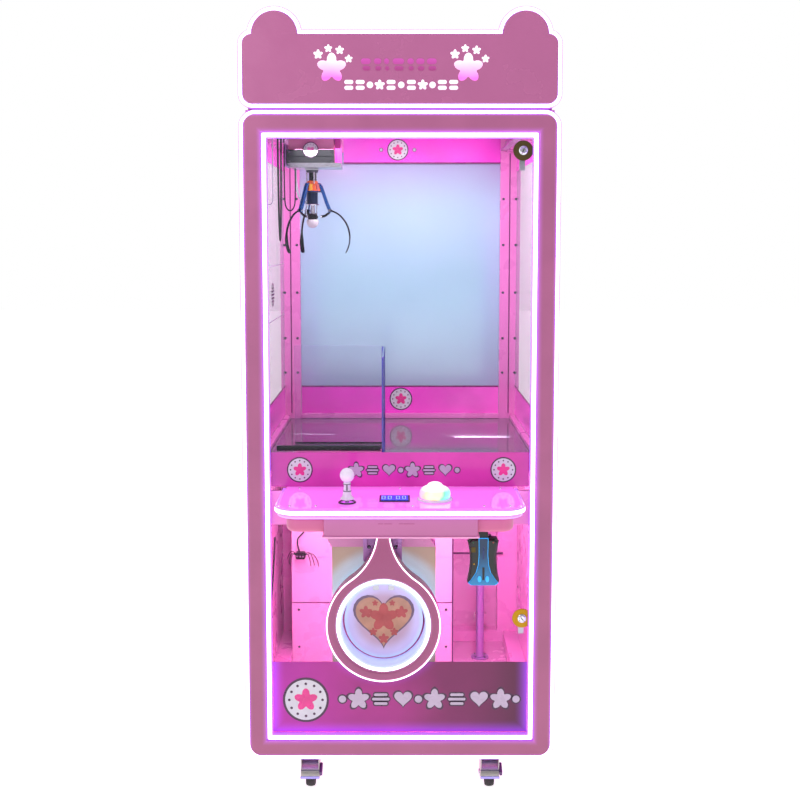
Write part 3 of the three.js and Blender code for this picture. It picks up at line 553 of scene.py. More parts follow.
# ----------------------------------------------------------------------------------------- mesh shapes
# Shapes are meshes in the machine's millimetres. piece() joins them into one object in the frame.

PLANES = {
    "front": Matrix(((1, 0, 0, 0), (0, 0, 1, 0), (0, 1, 0, 0), (0, 0, 0, 1))),
    "flat": Matrix.Identity(4),
    "side": Matrix(((0, 0, 1, 0), (1, 0, 0, 0), (0, 1, 0, 0), (0, 0, 0, 1))),
}
AXES = {
    "x": Matrix.Rotation(math.pi / 2, 4, "Y"),
    "y": Matrix.Rotation(-math.pi / 2, 4, "X"),
    "z": Matrix.Identity(4),
}


def mesh_from(bm):
    made = bpy.data.meshes.new("shape")
    bm.to_mesh(made)
    bm.free()
    return made


def slab(loops, low, high, plane="front", bevel=0.0, steps=2):
    """Closed outlines, the first outside and the rest holes, extruded from low to high with bevelled edges.
    plane front reads an outline as (x, z), flat as (x, depth) and side as (depth, z)."""
    curve = bpy.data.curves.new("outline", "CURVE")
    curve.dimensions = "2D"
    curve.fill_mode = "BOTH"
    curve.extrude = (high - low) / 2 - bevel
    curve.bevel_depth = bevel
    curve.bevel_resolution = steps
    curve.offset = -bevel
    for loop in loops:
        spline = curve.splines.new("POLY")
        spline.points.add(len(loop) - 1)
        spline.points.foreach_set("co", [c for u, v in loop for c in (u, v, 0, 1)])
        spline.use_cyclic_u = True
    holder = bpy.data.objects.new("outline", curve)
    bpy.context.scene.collection.objects.link(holder)
    graph = bpy.context.evaluated_depsgraph_get()
    made = bpy.data.meshes.new_from_object(holder.evaluated_get(graph), depsgraph=graph)
    bpy.data.objects.remove(holder)
    bpy.data.curves.remove(curve)
    bm = bmesh.new()
    bm.from_mesh(made)
    bpy.data.meshes.remove(made)
    bmesh.ops.remove_doubles(bm, verts=bm.verts, dist=0.002)
    bmesh.ops.translate(bm, verts=bm.verts, vec=(0, 0, (low + high) / 2))
    bmesh.ops.transform(bm, matrix=PLANES[plane], verts=bm.verts)
    bmesh.ops.recalc_face_normals(bm, faces=bm.faces)
    return mesh_from(bm)


def block(x, depth, z, bevel=1.0, steps=2):
    """A box with rounded edges, from its three spans."""
    bm = bmesh.new()
    bmesh.ops.create_cube(bm, size=1)
    spans = (x, depth, z)
    size = Vector([abs(b - a) for a, b in spans])
    centre = Vector([middle(pair) for pair in spans])
    bmesh.ops.transform(bm, matrix=Matrix.Translation(centre) @ Matrix.Diagonal((*size, 1)), verts=bm.verts)
    if bevel:
        bmesh.ops.bevel(bm, geom=bm.edges, offset=bevel, segments=steps, profile=0.5, affect="EDGES")
    return mesh_from(bm)


def lathe(profile, centre=(0, 0, 0), axis="z", segments=40):
    """A closed body: a profile of (radius, height) points turned round an axis through centre."""
    bm = bmesh.new()
    rings = []
    for radius, height in profile:
        if radius < 1e-6:
            rings.append([bm.verts.new((0, 0, height))])
            continue
        turn = [2 * math.pi * i / segments for i in range(segments)]
        rings.append([bm.verts.new((radius * math.cos(a), radius * math.sin(a), height)) for a in turn])
    for one, two in zip(rings, rings[1:]):
        for i in range(segments):
            j = (i + 1) % segments
            corners = [one[i % len(one)], one[j % len(one)], two[j % len(two)], two[i % len(two)]]
            unique = list(dict.fromkeys(corners))
            if len(unique) > 2:
                bm.faces.new(unique)
    bmesh.ops.transform(bm, matrix=Matrix.Translation(centre) @ AXES[axis], verts=bm.verts)
    bmesh.ops.recalc_face_normals(bm, faces=bm.faces)
    return mesh_from(bm)


def smooth_path(points, steps=8):
    """A Catmull-Rom line through the points."""
    ends = [Vector(p) for p in points]
    ends = [ends[0] * 2 - ends[1], *ends, ends[-1] * 2 - ends[-2]]
    line = []
    for a, b, c, d in zip(ends, ends[1:], ends[2:], ends[3:]):
        for i in range(steps):
            t = i / steps
            line.append(0.5 * (2 * b + (c - a) * t + (2 * a - 5 * b + 4 * c - d) * t * t
                               + (3 * b - a - 3 * c + d) * t ** 3))
    line.append(ends[-2])
    return line


def sweep(line, section):
    """A section carried along a line. section(share) gives its outline as (sideways, upward) points."""
    bm = bmesh.new()
    rings = []
    side = None
    for i, point in enumerate(line):
        ahead = (line[min(i + 1, len(line) - 1)] - line[max(i - 1, 0)]).normalized()
        if side is None:
            guess = Vector((0, 0, 1)) if abs(ahead.z) < 0.9 else Vector((0, 1, 0))
            side = ahead.cross(guess).normalized()
        side = (side - ahead * side.dot(ahead)).normalized()
        up = side.cross(ahead)
        outline = section(i / (len(line) - 1))
        rings.append([bm.verts.new(point + side * u + up * v) for u, v in outline])
    count = len(rings[0])
    for one, two in zip(rings, rings[1:]):
        for i in range(count):
            j = (i + 1) % count
            bm.faces.new((one[i], one[j], two[j], two[i]))
    bm.faces.new(rings[0])
    bm.faces.new(rings[-1])
    bmesh.ops.recalc_face_normals(bm, faces=bm.faces)
    return mesh_from(bm)


def rod(start, end, radius, sides=20):
    """A straight bar with softened ends."""
    line = [Vector(start), Vector(end)]
    ahead = (line[1] - line[0]).normalized()
    soft = min(radius * 0.3, (line[1] - line[0]).length * 0.2)
    points = [line[0], line[0] + ahead * soft, line[1] - ahead * soft, line[1]]
    radii = [radius - soft, radius, radius, radius - soft]

    return sweep(points, lambda share: disc(0, 0, radii[round(share * 3)], sides))


def spun(mesh, centre, degrees, axis="Z"):
    """A copy of a shape turned about a vertical axis, or another one, through centre."""
    made = mesh.copy()
    place = Matrix.Translation(centre)
    made.transform(place @ Matrix.Rotation(math.radians(degrees), 4, axis) @ place.inverted())
    return made


def facing(mesh, wanted):
    """Marks a shape's faces: the first material where wanted(normal) is high, the second for the rest."""
    for polygon in mesh.polygons:
        polygon.material_index = 0 if wanted(polygon.normal) > 0.9 else 1
    return mesh


def settle_normals(obj):
    """Keeps large faces flat where rounded edges meet them."""
    obj.modifiers.new("normals", "WEIGHTED_NORMAL").keep_sharp = True


def piece(name, parts, body, replaces=()):
    """One object from (shape, material or materials) parts. It rides on body and may stand for CAD nodes."""
    bm = bmesh.new()
    materials = []
    for mesh, finish in parts:
        finishes = finish if isinstance(finish, (list, tuple)) else [finish]
        first = len(bm.faces)
        bm.from_mesh(mesh)
        bm.faces.ensure_lookup_table()
        for face in bm.faces[first:]:
            wanted = finishes[min(face.material_index, len(finishes) - 1)]
            if wanted not in materials:
                materials.append(wanted)
            face.material_index = materials.index(wanted)
    bmesh.ops.transform(bm, matrix=TO_FRAME, verts=bm.verts)
    made = mesh_from(bm)
    made.name = name
    for material in materials:
        made.materials.append(material)
    made.shade_smooth()
    made.set_sharp_from_angle(angle=SMOOTH_ANGLE)
    obj = bpy.data.objects.new(name, made)
    bpy.context.scene.collection.objects.link(obj)
    settle_normals(obj)
    if body:
        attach(obj, body)
    if replaces:
        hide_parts(*replaces)
    return obj


def finish_node(name, material, bevel=1.0):
    """A CAD node kept as it is, with its own finish and softened edges."""
    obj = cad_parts[name]
    obj.data.materials.clear()
    obj.data.materials.append(material)
    soften = obj.modifiers.new("edges", "BEVEL")
    soften.width = bevel * MM
    soften.segments = 2
    soften.limit_method = "ANGLE"
    soften.angle_limit = SMOOTH_ANGLE
    settle_normals(obj)


def paint_node(name, pick, materials, bevel):
    """A CAD node kept as it is, with a material for each region: pick(x, depth, z) gives its number."""
    finish_node(name, materials[0], bevel)
    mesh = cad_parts[name].data
    for material in materials[1:]:
        mesh.materials.append(material)
    to_machine = TO_FRAME.inverted()
    for polygon in mesh.polygons:
        polygon.material_index = pick(*(to_machine @ polygon.center))


# -------------------------------------------------------------------------------------------- outlines

def arc(cx, cz, radius, start, end, steps):
    """Points on a circle, from one angle to another in degrees."""
    turn = [math.radians(start + (end - start) * i / steps) for i in range(steps + 1)]
    return [(cx + radius * math.cos(a), cz + radius * math.sin(a)) for a in turn]


def disc(cx, cz, radius, steps=64):
    return arc(cx, cz, radius, 0, 360, steps)[:-1]


def oval(cx, cz, half_x, half_z, steps=40):
    return [(cx + half_x * c, cz + half_z * s) for c, s in disc(0, 0, 1, steps)]


def rounded(left, right, low, high, radius, steps=8):
    return (arc(right - radius, low + radius, radius, -90, 0, steps)
            + arc(right - radius, high - radius, radius, 0, 90, steps)
            + arc(left + radius, high - radius, radius, 90, 180, steps)
            + arc(left + radius, low + radius, radius, 180, 270, steps))


def square(left, right, low, high):
    return [(left, low), (right, low), (right, high), (left, high)]


def star(cx, cz, radius, waist=0.5, points=5, soft=4):
    """A star with rounded tips."""
    outline = []
    for i in range(points):
        tip = math.pi / 2 + 2 * math.pi * i / points
        for k in range(-soft, soft + 1):
            share = abs(k) / (soft + 0.5)
            reach = radius * (1 - share ** 1.6 * (1 - waist))
            angle = tip + k * math.pi / points / (soft + 0.5)
            outline.append((cx + reach * math.cos(angle), cz + reach * math.sin(angle)))
    return outline


def heart(cx, cz, size, steps=40):
    outline = []
    for i in range(steps):
        t = 2 * math.pi * i / steps
        x = 16 * math.sin(t) ** 3
        z = 13 * math.cos(t) - 5 * math.cos(2 * t) - 2 * math.cos(3 * t) - math.cos(4 * t)
        outline.append((cx + x * size / 17, cz + (z + 2) * size / 17))
    return outline


def capsule(cx, cz, half_x, half_z):
    radius = min(half_x, half_z) * 0.98
    return rounded(cx - half_x, cx + half_x, cz - half_z, cz + half_z, radius, 8)


# --------------------------------------------------------------------------------------------- details

def screw(place, axis="y", radius=4.0, out=-1):
    """A pan-head screw with a hexagon socket; out is the direction in which the head stands."""
    rise = radius * 0.55
    socket = radius * 0.42
    profile = [(0, rise * 0.25), (socket, rise * 0.25), (socket, rise * 0.95), (socket * 1.3, rise),
               (radius * 0.75, rise * 0.8), (radius, rise * 0.25), (radius, 0), (0, 0)]
    if out < 0:
        profile = [(r, -h) for r, h in profile]
    return lathe(profile, place, axis, 12)


def screws(name, places, body, material, axis="y", radius=4.0, out=-1):
    piece(name, [(screw(place, axis, radius, out), material) for place in places], body)


def printed(loop, face, start, thick):
    """A printed layer whose back stands start mm in front of a face."""
    return slab([loop], face - (start + thick), face - start)


def badge(cx, cz, radius, face, mark="star"):
    """A round printed badge: dark rim, white field, pink mark and a ring of dots."""
    inner = star(cx, cz, radius * 0.52) if mark == "star" else heart(cx, cz, radius * 0.46)
    parts = [
        (printed(disc(cx, cz, radius), face, 0.05, 0.3), MARK_DARK),
        (printed(disc(cx, cz, radius * 0.9), face, 0.3, 0.3), MARK_WHITE),
        (printed(inner, face, 0.55, 0.3), MARK_HOT if mark == "star" else MARK_PINK),
    ]
    for c, s in disc(0, 0, 1, 12):
        dot = disc(cx + radius * 0.72 * c, cz + radius * 0.72 * s, radius * 0.06, 10)
        parts.append((printed(dot, face, 0.55, 0.25), MARK_DARK))
    return parts


def outlined(loop, grown, face):
    """A printed mark with a dark border behind it."""
    return [(printed(grown, face, 0.05, 0.3), MARK_DARK), (printed(loop, face, 0.3, 0.35), MARK_SILVER)]


def mark_row(marks, cz, size, front):
    """A row of plain marks: stars, hearts, dots and bars. marks are (kind, x)."""
    parts = []
    border = size * 0.13
    for kind, x in marks:
        if kind == "star":
            parts += outlined(star(x, cz, size), star(x, cz, size + border * 1.6), front)
        elif kind == "heart":
            parts += outlined(heart(x, cz, size * 0.86), heart(x, cz, size * 0.86 + border * 1.3), front)
        elif kind == "dot":
            parts += outlined(disc(x, cz, size * 0.34, 24), disc(x, cz, size * 0.34 + border, 24), front)
        else:
            for rise in (-0.42, 0.0, 0.42):
                half = size * (0.8 if rise == 0 else 0.62)
                bar = capsule(x, cz + rise * size, half, size * 0.13)
                grown = capsule(x, cz + rise * size, half + border, size * 0.13 + border)
                parts += outlined(bar, grown, front)
    return parts


# ------------------------------------------------------------------------------------------ front door

def light_band(name, loops, core, front, back, body, replaces=(), bevel=2.5, flank=LED_RIM):
    """A lit strip: a violet-edged diffuser with a white-hot core along its face."""
    shape = slab(loops, front + 0.5, back, "front", bevel, 3)
    heart_line = slab(core, front, front + 3, "front", 0.8)
    return piece(name, [(shape, flank), (heart_line, LED_CORE)], body, replaces)


def make_door():
    def edge(grow):
        half = DOOR_HALF + grow
        return rounded(-half, half, DOOR_LOW - grow, DOOR_HIGH + grow, 30 + grow, 12)

    def window(inset, radius=3.5):
        half = WINDOW_HALF - inset
        return rounded(-half, half, WINDOW_LOW + inset, WINDOW_HIGH - inset, radius)

    sheet = slab([rounded(*DOOR_X, *DOOR_Z, 30), window(0, 4)], 0, 30, "front", 1.6)
    piece("door_sheet", [(sheet, DOOR_PINK)], "front_door", ["door_frame"])
    light_band("door_edge_light", [edge(12), edge(0.3)], [edge(9.6), edge(2)], 3, 22, "front_door",
               ["door_outer_led"])
    light_band("door_opening_light", [window(0.3), window(16)], [window(3.2), window(13)],
               4, 18, "front_door",
               ["door_inner_led"])
    finish_node("upper_glass", GLASS, 0.6)
    finish_node("lower_glass", GLASS, 0.6)
    finish_node("cross_member", PINK_INNER, 1.2)
    finish_node("door_hinge", ZINC, 0.6)
    places = [(x, 30, z) for x in (-367, 367) for z in (180, 500, 820, 1160, 1500)]
    screws("door_rear_screws", places, "front_door", ZINC, "y", 4.5, 1)
    seal = slab([window(3, 4), window(10, 3)], 27.2, 30.5, "front", 1.0)
    piece("door_gasket", [(seal, CABLE_BLACK)], "front_door")


def console_outline(grow, back):
    half, front, radius = 290 + grow, -210 - grow, 50 + grow
    left = arc(-half + radius, front + radius, radius, 180, 270, 16)
    right = arc(half - radius, front + radius, radius, -90, 0, 16)
    return [(-half, back), *left, *right, (half, back)]


def make_console():
    top = slab([console_outline(0, 29), disc(*STICK, 17), disc(*BUTTON, 12.5)], 782, CONSOLE_TOP, "flat", 1.2)
    piece("console_slab", [(top, PINK_GLOSS)], "front_door", ["console_top"])
    band = console_outline(10, 18) + list(reversed(console_outline(0.3, 18)))
    shape = facing(slab([band], 783, 798, "flat", 4.5, 4), lambda n: math.hypot(n.x, n.y))
    piece("console_light", [(shape, [LED_CORE, LED_RIM])], "front_door", ["console_led"])

    lip = slab([console_outline(4, 18)], 775, 781.7, "flat", 2.5, 3)
    tub = slab([console_outline(-18, 18)], 737, 776, "flat", 11, 5)
    centre = block((-180, 184), (-204, -20), (731, 777), 3.0, 3)
    flange = block((-184, 188), (-207, -18), (727, 731.5), 1.8, 2)
    parts = [(lip, CONSOLE_LIP), (tub, CONSOLE_TUB), (centre, CONSOLE_BOX), (flange, CONSOLE_FLANGE)]
    parts += [(block((x - half, x + half), (-204.6, -203), (761, 762.6), 0.3, 1), PINK_DEEP)
              for x, half in ((-46, 6), (-28, 9), (2, 5), (17, 9), (30, 4))]
    piece("console_tub", parts, "front_door", ["console_tray"])
    places = [(x, -186, CONSOLE_TOP) for x in (-262, -200, 30, 200, 262)]
    places += [(x, 2, CONSOLE_TOP) for x in (-255, 0, 255)]
    screws("console_screws", places, "front_door", CHROME, "z", 3.2, 1)

    (left, right), (front, back), (low, _) = span("display")
    case = block((left, right), (front, back), (low, 803.2), 1.2)
    screen = block((left + 4, right - 4), (front + 5, back - 5), (803, 804), 0.3, 1)
    parts = [(case, BLACK_GLOSS), (screen, BLUE_SCREEN)]
    for i in range(4):
        parts += [(bar, SCREEN_DIGIT) for bar in zero_digit(-40 + i * 15 + (5 if i > 1 else 0),
                                                            -115, 9, 30, 804)]
    piece("counter_display", parts, "front_door", ["display"])


def make_controls():
    finish_node("joystick_base", BLACK_PLASTIC, 0.8)
    finish_node("joystick_gimbal", ZINC, 0.5)
    x, depth = STICK
    centre = (x, depth, 0)
    collar = [(17.2, 800.2), (21.5, 800.2), (21.5, 801.4), (20, 803), (17.2, 803), (17.2, 800.2)]
    piece("joystick_washer", [(lathe(collar, centre), BLACK_GLOSS)], "front_door")
    skirt = [(0, 808.5), (16.2, 808.5), (16.8, 810), (16.2, 812), (13, 814.5), (11.2, 819), (10, 827),
             (8.6, 834), (8, 842), (9.2, 847), (8, 851), (0, 851)]
    ball = [(0, 849), *arc(0, 867, 17.6, -72, 81, 17), (0, 884.6)]
    shaft = [(0, 760), (5, 760), (5, 812), (0, 812)]
    parts = [(lathe(skirt, centre), LAVENDER_WHITE), (lathe(ball, centre, "z", 48), LAVENDER_WHITE),
             (lathe(shaft, centre, "z", 20), ZINC)]
    for z, r in ((846, 9.9), (829, 10.3)):
        groove = [(7, z - 0.8), (r, z - 0.8), (r, z + 0.8), (7, z + 0.8), (7, z - 0.8)]
        parts.append((lathe(groove, centre), STEEL_DARK))
    parts.append((block((x - 1.6, x + 1.6), (depth - 11, depth - 6), (831, 845), 0.5, 1), STEEL_DARK))
    piece("joystick_handle", parts, "joystick", ["joystick_stick"])

    centre = (*BUTTON, 0)
    dome = [(0, 806), (36, 806), (37.6, 810), (38, 816), (36.4, 823), (32, 829), (26, 832.5), (21, 834),
            (18.5, 837), (15.5, 840.5), (10, 843.2), (4, 844.4), (0, 844.6)]
    stem = [(0, 770), (11.5, 770), (11.5, 807), (0, 807)]
    parts = [(lathe(dome, centre, "z", 56), START_DOME), (lathe(stem, centre), BLACK_PLASTIC)]
    piece("start_dome", parts, "start_button", ["start_button"])
    bezel = [(38.6, 800.3), (43, 800.3), (43.4, 802), (41.5, 805), (39, 805.6), (38.4, 804), (38.6, 800.3)]
    piece("start_bezel", [(lathe(bezel, centre, "z", 56), LAVENDER_WHITE)], "front_door")


def zero_digit(x, depth, width, height, z):
    """The six lit bars of a seven-segment nought, flat on the display."""
    thick, gap = 1.7, 1.2
    left, right = x - width / 2, x + width / 2
    low, high = depth - height / 2, depth + height / 2
    bars = [(left + gap, right - gap, low, low + thick), (left + gap, right - gap, high - thick, high)]
    for side in (left, right - thick):
        bars += [(side, side + thick, low + gap, depth - gap), (side, side + thick, depth + gap, high - gap)]
    return [block((a, b), (c, d), (z, z + 0.3), 0) for a, b, c, d in bars]


def outlet_outline(grow, top):
    """The outlet's outer line about its own centre: a ring whose neck flares out of it."""
    ring, neck, flare = 144 + grow, 14.6 + grow, 162 - grow
    across = neck + flare
    rise = math.sqrt((ring + flare) ** 2 - across ** 2)
    turn = math.degrees(math.atan2(rise, across))
    right = arc(0, 0, ring, -90, turn, 40) + arc(across, rise, flare, 180 + turn, 180, 20)[1:] + [(neck, top)]
    both = right + [(-x, z) for x, z in reversed(right[1:])]
    return [(OUTLET[0] + x, OUTLET[1] + z) for x, z in both]


def make_outlet():
    neck_top = 727.7 - OUTLET[1]
    ring = slab([outlet_outline(0, neck_top), disc(*OUTLET, 121, 96)], -40, 18, "front", 5, 4)
    piece("outlet_ring", [(ring, PINK_RING)], "front_door", ["prize_ring"])
    line = slab([outlet_outline(1.2, neck_top), outlet_outline(-1.8, neck_top + 3)], -42.5,
                -38.5, "front", 0.8)
    piece("outlet_light_line", [(line, LED_THIN)], "front_door")
    outer, core_outer, core_inner, inner = (disc(*OUTLET, radius, 96)
                                            for radius in (120.7, 119.4, 111.5, 106))
    light_band("outlet_light", [outer, inner], [core_outer, core_inner], -37, 18, "front_door",
               ["prize_ring_led"], 3.0, LED_CYAN)

    front, back = span("prize_flap")[1]
    hinge_depth, hinge_z = middle((front, back)), OUTLET[1] + 94
    flap = slab([[(x, min(z, hinge_z + 2)) for x, z in disc(*OUTLET, 101, 96)]], front, back, "front", 1.0)
    parts = [(flap, FLAP_FROST)]
    for x in (-62, -22):
        parts.append((rod((x - 9, hinge_depth, hinge_z), (x + 9, hinge_depth, hinge_z), 3), ZINC))
        parts.append((block((x - 8, x + 8), (front - 1.2, front), (hinge_z - 16, hinge_z + 1), 0.4, 1), ZINC))
    x, z = OUTLET
    parts += [(slab([heart(x, z - 4, 84)], front - 0.6, front), BADGE_SHADE),
              (slab([heart(x, z - 4, 77)], front - 0.9, front - 0.5), BADGE_TAN)]
    for dx, dz, size in ((0, 6, 38), (-46, 20, 17), (46, 20, 17), (0, -50, 14), (-27, -32, 11), (27, -32, 11),
                         (-22, 44, 8), (22, 44, 8)):
        parts.append((slab([star(x + dx, z + dz, size)], front - 1.2, front - 0.8), BADGE_RED))
    piece("outlet_flap", parts, "prize_flap", ["prize_flap"])

    bracket = slab([rounded(-95, 5, 600, 737, 6)], 29.8, 33, "front", 0.8)
    gussets = [block((x - 1.5, x + 1.5), (20, 40), (640, 736), 0.6, 1) for x in (-86, -4)]
    bolts = [(screw((x, 29.8, z), "y", 5), STEEL_DARK) for x in (-80, -10) for z in (640, 700)]
    bolts += [(screw((x, 29.8, z), "y", 3), STEEL_DARK) for x in (-62, -26) for z in (668, 722)]
    parts = [(shape, LAVENDER_METAL) for shape in (bracket, *gussets)]
    piece("outlet_bracket", parts + bolts, "front_door")


def acceptor_outline(grow):
    """The acceptor's waisted front: wide at the foot, cut corners at the top."""
    x, z = ACCEPTOR
    squat = 0.92
    right = [(30, -67), (38, -65), (41.5, -59), (41, -52), (37.5, -35), (34.5, -8), (34, 12), (35.5, 30),
             (38.5, 48), (40.5, 57), (34, 66), (26, 67)]
    points = right + [(-u, v) for u, v in reversed(right)]
    return [(x + u * (1 + grow / 40), z + v * squat * (1 + grow / 67)) for u, v in points]


def make_acceptor():
    x, z = ACCEPTOR
    base = slab([acceptor_outline(0)], 3, 21.7, "front", 3.5, 3)
    raised = slab([acceptor_outline(-5)], -3.6, 4, "front", 3.2, 4)
    half_stripe = [(-11, 60), (-10.5, 18), (-12.5, -8), (-18, -28), (-30, -46), (-37.5, -55), (-30, -61)]
    stripe = half_stripe + [(-u, v) for u, v in reversed(half_stripe)]

    def stripe_loop(grow):
        return [(x + u + math.copysign(grow, u), z + v + (grow if v > 50 else -grow * 0.5))
                for u, v in stripe]
    # Painted highlights: the lens's raised edge and the two spots beside the slot glow cyan, and the lens is
    # brighter towards its foot.
    edge = slab([stripe_loop(1.4)], -4.4, -1, "front", 0.6)
    lens = slab([stripe_loop(0)], -5.4, -2, "front", 1.4, 3)
    slot = block((x - 3, x + 3), (-6.0, -4), (z - 48, z - 14), 1.2)
    slot_high = block((x - 2.2, x + 2.2), (-5.8, -4), (z + 6, z + 40), 0.8)
    glow = [slab([oval(x + side * 10, z - 45, 4.5, 8)], -6.0, -5, "front", 0.3, 1) for side in (-1, 1)]
    stub = block((x - 14, x + 12), (-1, 16), (z + 56, z + 80), 2)
    body = block((x - 28, x + 28), (21.7, 105), (z - 52, z + 44), 3)
    cassette = block((x - 24, x + 24), (50, 92), (z + 16, z + 45.5), 2)
    reader = block((x - 31, x - 20), (-4.4, -3), (z + 24, z + 38), 1)
    lamps = [(slab([disc(x + u, z + v, 2, 16)], -4.6, -3.4, "front", 0.3, 1), finish)
             for u, v, finish in ((-26, 50, PCB_GREEN), (25, 50, BADGE_RED), (-24, -6, BRASS))]
    parts = [(base, BLACK_GLOSS), (raised, BLACK_GLOSS), (edge, BLUE_HIGHLIGHT), (lens, BLUE_GLASS),
             (slot, BLACK_PLASTIC),
             (slot_high, NAVY), *[(shape, BLUE_HIGHLIGHT) for shape in glow], (stub, BLACK_PAINT),
             (body, BLACK_PAINT),
             (cassette, DARK_GREY), (reader, OLIVE_METAL), *lamps]
    piece("bill_acceptor_front", parts, "front_door", ["bill_acceptor"])


def make_lock(node, cam, plate_finish, slot_turn):
    x, _, z = (middle(pair) for pair in span(node))
    plate = slab([disc(x, z, 25, 64)], 18.3, 21.7, "front", 0.9, 3)
    collar = lathe([(0, 14.5), (9, 14.5), (11, 16), (11.5, 18.4), (0, 18.4)], (x, 0, z), "y", 40)
    plug = lathe([(0, 12.8), (6.5, 12.8), (7.5, 13.8), (7.5, 14.8), (0, 14.8)], (x, 0, z), "y", 32)
    key_slot = spun(block((x - 1.2, x + 1.2), (12.2, 13.2), (z - 5, z + 5), 0.3, 1),
                    (x, 0, z), slot_turn, "Y")
    marks = [spun(block((x - 1, x + 1), (13.9, 14.8), (z + 7.6, z + 10), 0.2, 1), (x, 0, z),
                  slot_turn + a, "Y")
             for a in (0, 90, 180, 270)]
    nut = slab([disc(x, z, 13, 6)], 21.7, 27, "front", 0.8)
    parts = [(plate, plate_finish), (collar, CHROME), (plug, CHROME), (key_slot, BLACK_PLASTIC), (nut, ZINC)]
    parts += [(mark, STEEL_DARK) for mark in marks]
    piece(node + "_front", parts, "front_door", [node])
    finish_node(cam, ZINC, 0.5)


# -------------------------------------------------------------------------------------------- header

def header_outline(grow):
    """The header's face with an ear on each upper corner, or the same line grown outwards."""
    corner, ear = HEADER_CORNER + grow, EAR_RADIUS + grow
    hub = Vector((EAR_X, HEADER_HIGH))
    bend = Vector((DOOR_X[1] - HEADER_CORNER, HEADER_HIGH - HEADER_CORNER))
    ahead = bend - hub
    along = (ahead.length_squared + ear ** 2 - corner ** 2) / (2 * ahead.length)
    off = math.sqrt(max(ear ** 2 - along ** 2, 0))
    ahead.normalize()
    meet = hub + ahead * along + Vector((-ahead.y, ahead.x)) * off
    leave = math.degrees(math.atan2(meet.y - bend.y, meet.x - bend.x))
    enter = math.degrees(math.atan2(meet.y - hub.y, meet.x - hub.x))
    finish = 180 - math.degrees(math.asin(grow / ear))
    right = (arc(bend.x, HEADER_LOW + HEADER_CORNER, corner, -90, 0, 10) + arc(*bend, corner, 0, leave, 8)
             + arc(*hub, ear, enter, finish, 36)[1:])
    return right + [(-x, z) for x, z in reversed(right)]


def make_header():
    face = slab([header_outline(0)], 0, 4, "front", 0.8)
    piece("header_panel", [(face, PINK_FACE)], "cabinet", ["header_face"])
    light_band("header_light", [header_outline(12), header_outline(0.4)],
               [header_outline(9.6), header_outline(2)],
               3, 22, "cabinet", ["header_led"])
    finish_node("header_box", PINK, 1.5)

    marks = []
    for side in (-1, 1):
        x = side * 168
        marks.append((star(x, 1850, 37), -0.7, GLYPH_WHITE))
        marks += [(star(x + dx, 1850 + dz, size), -0.7, GLYPH_PALE)
                  for dx, dz, size in ((-33, 33, 12), (-8, 47, 10), (20, 43, 11), (42, 22, 10))]
    for x, half in ((-84, 12), (-55, 9), (-33, 6), (-4, 14), (26, 8), (50, 10), (78, 12)):
        marks.append((capsule(x, 1866, half, 7), -0.6, GLYPH_DIM))
        marks.append((capsule(x + 1.5, 1849, half * 0.8, 5.5), -0.6, GLYPH_DIM))
    for kind, x in (("bar", -126), ("bar", -98), ("dot", -74), ("star", -50), ("bar", -22), ("dot", 3),
                    ("bar", 28), ("star", 56), ("dot", 80), ("bar", 104), ("bar", 132)):
        if kind == "bar":
            marks += [(capsule(x, z, 11, 5), -0.7, GLYPH_PALE) for z in (1816, 1802)]
        else:
            marks.append((star(x, 1809, 13) if kind == "star" else disc(x, 1809, 8, 28), -0.7, GLYPH_PALE))
    parts = [(slab([outline], front, 0.2), finish) for outline, front, finish in marks]
    piece("header_marks", parts, "cabinet")
    screws("header_top_screws", [(x, 60, HEADER_HIGH) for x in (-200, 0, 200)], "cabinet", ZINC, "z", 4, 1)


# -------------------------------------------------------------------------------------------- cabinet

